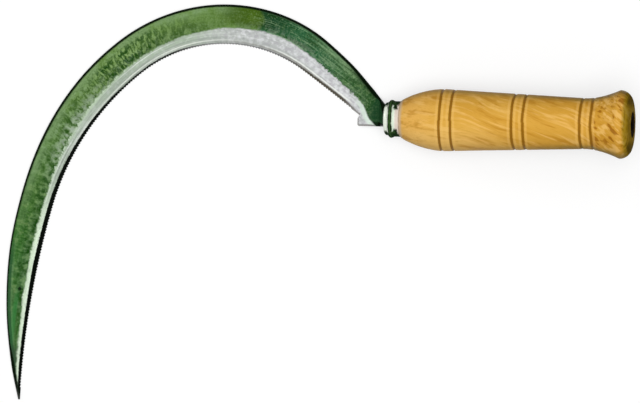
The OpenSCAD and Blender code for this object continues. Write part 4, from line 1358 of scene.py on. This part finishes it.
def turned_wood(ferrule, handle, washer):
    """Varnished honey-coloured wood. The fibres run along the handle at the ferrule and slant
    more and more towards the pommel. Each scribed ring is stained, with pale rubbed shoulders.
    Painted shade darkens the rim of the pommel, the sides and the lower half, and painted light
    pales the front of the swell and the near flank."""
    tree = Tree(bpy.data.materials.new("turned_wood"))
    along, gap, reach, up = (tree.attribute(name) for name in ("along", "ring_gap", "reach", "up"))
    place = tree.place()
    x, y, z = (tree.add("ShaderNodeSeparateXYZ", {0: place}, axis) for axis in "XYZ")
    slanted = y + along * along * FIBRE_SLANT + tree.noise(place, 24, detail=1) * FIBRE_WANDER
    pommel, rings_end, wood_start = handle.pommel_s, handle.rings_rear, ferrule.long

    def grain(long, across, through, detail):
        """Noise drawn out along the slanting fibres."""
        return tree.noise(tree.vector(x * long, slanted * across, z * through), 1, detail)

    fibre = grain(long=40, across=430, through=200, detail=2)
    shade = grain(long=34, across=330, through=160, detail=3)
    broad = grain(long=12, across=70, through=50, detail=2)
    pores = grain(long=220, across=2400, through=1600, detail=1)
    figure = grain(long=130, across=240, through=200, detail=2)
    wood = tree.mix(broad.step(0.4, 0.62, 0, 0.5), handle.honey, handle.amber)
    wood = wood.lay(handle.amber, along.step(55 * MM, 100 * MM, 0, 0.45))
    # Painted light: the front of the swell and the near flank are paler
    wood = wood.lay(LIT_FRONT_WOOD, along.step(38 * MM, 14 * MM, 0, 0.45))
    wood = wood.lay(LIT_FLANK_WOOD, y.step(-2 * MM, -11 * MM) * along.step(78 * MM, 44 * MM) * 0.5)
    wood = wood.lay(handle.brown, shade.step(0.48, 0.66, 0, 0.6))
    wood = wood.lay(handle.pale, fibre.step(0.5, 0.68, 0, 0.6))
    wood = wood.lay(handle.brown, pores.step(0.56, 0.72, 0, 0.25))

    # Flecks and hollows behind the last rings
    near_end = along.step(rings_end + 2 * MM, rings_end + 6 * MM)
    wood = wood.lay(handle.amber, near_end * 0.35)
    wood = wood.flecked(
        figure, near_end, (handle.pale, 0.52, 0.62, 0.75), (HOLLOW, 0.46, 0.38, 0.8))

    # The scribed rings, the lip at the ferrule and painted shade on the pommel's rim
    wood = wood.lay(handle.pale, abs(gap - 1.7 * MM).step(1 * MM, 0.2 * MM) * 0.4)
    wood = wood.lay(handle.scorched, gap.step(1 * MM, 0.45 * MM, 0, 0.9))
    wood = wood.lay(LIP, along.step(wood_start + 2.4 * MM, wood_start + 0.3 * MM, 0, 0.9))
    wood = wood.lay(POMMEL_SHADE, along.step(pommel + 2.6 * MM, pommel + 4.8 * MM) * 0.75)
    ends = along.step(pommel + 4.6 * MM, pommel + 5.8 * MM)
    wood = wood.lay(handle.pommel_end_shade, ends * abs(y).step(8 * MM, 13 * MM) * 0.85)

    # Painted shade on the sides and the lower half, more on the far side, then the end grain and the
    # stain round the washer
    height = up + (shade - NOISE_MIDDLE) * 0.3
    far_side_shade = y.step(-8 * MM, 8 * MM, 0.05, 0.4)
    painted_shade = along.step(handle.rings_front + 10 * MM, pommel, far_side_shade, 0.75)
    painted_shade = painted_shade * along.step(pommel + 5.2 * MM, pommel + 3.6 * MM, 0.3, 1)
    wood = wood.lay(WOOD_SHADE, height.step(0.66, 0.3) * painted_shade)
    end_face = along.step(pommel + 3 * MM, pommel + 5 * MM)
    to_pith = tree.length(0.0, y + handle.pith_y, z + handle.pith_z)
    wavering = to_pith + tree.noise(place, 90, detail=2) * RING_WAVER
    year_rings = tree.drawn(wavering, 0.0, RING_RATE, 1, detail=2)
    wood = wood.flecked(
        year_rings, end_face, (YEAR_RING, 0.5, 0.6, 0.5), (handle.amber, 0.46, 0.36, 0.3))
    near_metal = reach.step(washer.radius + 1.1 * MM, washer.radius + 0.4 * MM)
    wood = wood.lay(IRON_STAIN, near_metal * along.step(pommel, pommel + 4 * MM) * 0.8)
    rough = fibre.step(0.3, 0.7, 0.4, 0.54) + end_face * 0.45
    peel = fibre + pores * 0.5
    return tree.shade(wood, rough, peel, 0.0, gloss=0.07, depth=0.12 * MM, strength=0.5)


def black_iron(washer):
    """Black forge scale with brown rust in the pits."""
    tree = Tree(bpy.data.materials.new("washer_iron"))
    pits = tree.noise(tree.place(), 900, detail=5)
    patches = tree.noise(tree.place(), 240, detail=4)
    skin = tree.mix(patches.step(0.5, 0.68, 0, 0.8), washer.iron, washer.rust)
    rough = pits.step(0.3, 0.7, 0.85, 1)
    return tree.shade(skin, rough, pits, 0.0, gloss=0.01, depth=0.15 * MM, strength=0.8)


# Stage

# Greys of the floor to indirect rays and under the lamps, and the light that it gives off
PLAIN_GREY, LIT_GREY, FLOOR_GLOW = (0.16,) * 3, (0.4,) * 3, 0.62
# Light from below and from straight above, as shares of the fill light
FILL_LEVELS = (0.05, 1.5)
# Place, aim and width of each lamp, in metres
KEY_LAMP = ((0.1, -0.2, 2.4), (-0.02, -0.04, 0), 1.6)
SIDE_LAMP = ((-1.9, 0.9, 1.1), (0, -0.02, 0), 0.8)
# The camera's sensor in millimetres, and how far it sees in metres
SENSOR_WIDTH, FAR_CLIP = 36, 100


def floor_finish():
    """Pale floor: part of its white comes from itself and part from the light on it, so that it
    looks white and keeps the object's shadow."""
    tree = Tree(bpy.data.materials.new("floor"))
    tree.nodes.remove(tree.nodes["Principled BSDF"])
    plain = tree.add("ShaderNodeBsdfDiffuse", {"Color": PLAIN_GREY})
    lit = tree.add("ShaderNodeBsdfDiffuse", {"Color": LIT_GREY})
    glow = tree.add("ShaderNodeEmission", {"Color": WHITE, "Strength": FLOOR_GLOW})
    white = tree.add("ShaderNodeAddShader", {0: lit, 1: glow})
    return tree.white_to_the_eye(plain, white, "Material Output")


def make_world(fill):
    """Even light from all round, brighter from above, which the camera sees as white."""
    tree = Tree(bpy.data.worlds.new("studio"))
    tree.nodes.remove(tree.nodes["Background"])
    upward = tree.add("ShaderNodeTexCoord", {}, "Generated")
    upward = tree.add("ShaderNodeSeparateXYZ", {0: upward}, "Z")
    low, high = (level * fill for level in FILL_LEVELS)
    level = tree.add("ShaderNodeMapRange", {"Value": upward, "To Min": low, "To Max": high})
    plain = tree.add("ShaderNodeBackground", {"Color": WHITE, "Strength": level})
    white = tree.add("ShaderNodeBackground", {"Color": WHITE})
    bpy.context.scene.world = tree.white_to_the_eye(plain, white, "World Output")


def make_lamp(name, place, aim, wide, level):
    """A square soft lamp that gives a level of light where it aims: its power is the level times
    the square of pi times its distance."""
    data = bpy.data.lights.new(name, "AREA")
    data.size = wide
    data.energy = level * (math.pi * math.dist(place, aim)) ** 2
    lamp = bpy.data.objects.new(name, data)
    bpy.context.scene.collection.objects.link(lamp)
    lamp.location = place
    x, y, z = (a - p for a, p in zip(aim, place))
    lamp.rotation_euler = (math.atan2(math.hypot(x, y), -z), 0, math.atan2(x, -y) + math.pi)
    return lamp


class SICKLE_OT_stage(bpy.types.Operator):
    """Adds the camera, the floor and the lights"""

    bl_idname = "sickle.stage"
    bl_label = "Add stage"

    def execute(self, context):
        stage = context.scene.sickle_stage
        camera = bpy.data.cameras.new("camera")
        camera.sensor_width = SENSOR_WIDTH
        camera.lens = SENSOR_WIDTH * stage.camera_z / stage.view_w
        camera.clip_end = FAR_CLIP
        eye = bpy.data.objects.new("camera", camera)
        context.scene.collection.objects.link(eye)
        eye.location = (stage.camera_x, stage.camera_y, stage.camera_z)
        eye.rotation_euler = (0, 0, stage.camera_turn)
        context.scene.camera = eye
        half, level = stage.floor_w / 2, -stage.floor_gap
        corners = [(x * half, y * half, level) for x, y in ((-1, -1), (1, -1), (1, 1), (-1, 1))]
        mesh = bpy.data.meshes.new("floor")
        mesh.from_pydata(corners, [], [(0, 1, 2, 3)])
        mesh.materials.append(floor_finish())
        floor = bpy.data.objects.new("floor", mesh)
        context.scene.collection.objects.link(floor)
        make_world(stage.fill)
        key = make_lamp("key", *KEY_LAMP, stage.key)
        key.visible_glossy = False
        make_lamp("side", *SIDE_LAMP, stage.side)
        context.scene.view_settings.view_transform = "Standard"
        return {"FINISHED"}


class SICKLE_OT_blade(bpy.types.Operator):
    """Adds the forging: crescent, heel, neck, tang and its hammered end"""

    bl_idname = "sickle.blade"
    bl_label = "Add blade"

    def execute(self, context):
        blade, ferrule, handle, washer = settings(context.scene)
        grids = [blade_grid(blade, ferrule, handle), tang_grid(blade, ferrule, handle, washer)]
        finishes = [painted_steel(blade, EdgeLine(blade).total), black_iron(washer)]
        build_piece("forged_blade", grids, finishes, "blade")
        return {"FINISHED"}


class SICKLE_OT_ferrule(bpy.types.Operator):
    """Adds the pressed ferrule"""

    bl_idname = "sickle.ferrule"
    bl_label = "Add ferrule"

    def execute(self, context):
        blade, ferrule, handle, _ = settings(context.scene)
        grids = [ferrule_grid(blade, ferrule, handle)]
        build_piece("pressed_ferrule", grids, [pressed_steel(ferrule)], "ferrule")
        return {"FINISHED"}


class SICKLE_OT_handle(bpy.types.Operator):
    """Adds the turned wooden handle"""

    bl_idname = "sickle.handle"
    bl_label = "Add handle"

    def execute(self, context):
        blade, ferrule, handle, washer = settings(context.scene)
        grids = [handle_grid(blade, ferrule, handle, washer)]
        wood = turned_wood(ferrule, handle, washer)
        build_piece("turned_handle", grids, [wood], "handle")
        return {"FINISHED"}


class SICKLE_OT_washer(bpy.types.Operator):
    """Adds the washer under the hammered end of the tang"""

    bl_idname = "sickle.washer"
    bl_label = "Add washer"

    def execute(self, context):
        blade, ferrule, handle, washer = settings(context.scene)
        grids = [washer_grid(blade, ferrule, handle, washer)]
        build_piece("end_washer", grids, [black_iron(washer)], "tang_washer")
        return {"FINISHED"}


class SICKLE_PT_panel(bpy.types.Panel):
    """The steps of the build, in order"""

    bl_label = "Serrated sickle"
    bl_space_type = "VIEW_3D"
    bl_region_type = "UI"
    bl_category = "Sickle"

    def draw(self, context):
        for step_class in OPERATORS:
            self.layout.operator(step_class.bl_idname)


OPERATORS = (SICKLE_OT_stage, SICKLE_OT_blade, SICKLE_OT_ferrule, SICKLE_OT_handle, SICKLE_OT_washer)
GROUPS = {
    "sickle_blade": BladeSettings,
    "sickle_ferrule": FerruleSettings,
    "sickle_handle": HandleSettings,
    "sickle_washer": WasherSettings,
    "sickle_stage": StageSettings,
}


def register():
    for made in (*GROUPS.values(), *OPERATORS, SICKLE_PT_panel):
        bpy.utils.register_class(made)
    for name, group in GROUPS.items():
        setattr(bpy.types.Scene, name, bpy.props.PointerProperty(type=group))


def unregister():
    for name in GROUPS:
        delattr(bpy.types.Scene, name)
    for made in reversed((*GROUPS.values(), *OPERATORS, SICKLE_PT_panel)):
        bpy.utils.unregister_class(made)


def main():
    """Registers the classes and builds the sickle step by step."""
    register()
    bpy.ops.sickle.stage()
    bpy.ops.sickle.blade()
    bpy.ops.sickle.ferrule()
    bpy.ops.sickle.handle()
    bpy.ops.sickle.washer()


if __name__ == "__main__":
    main()
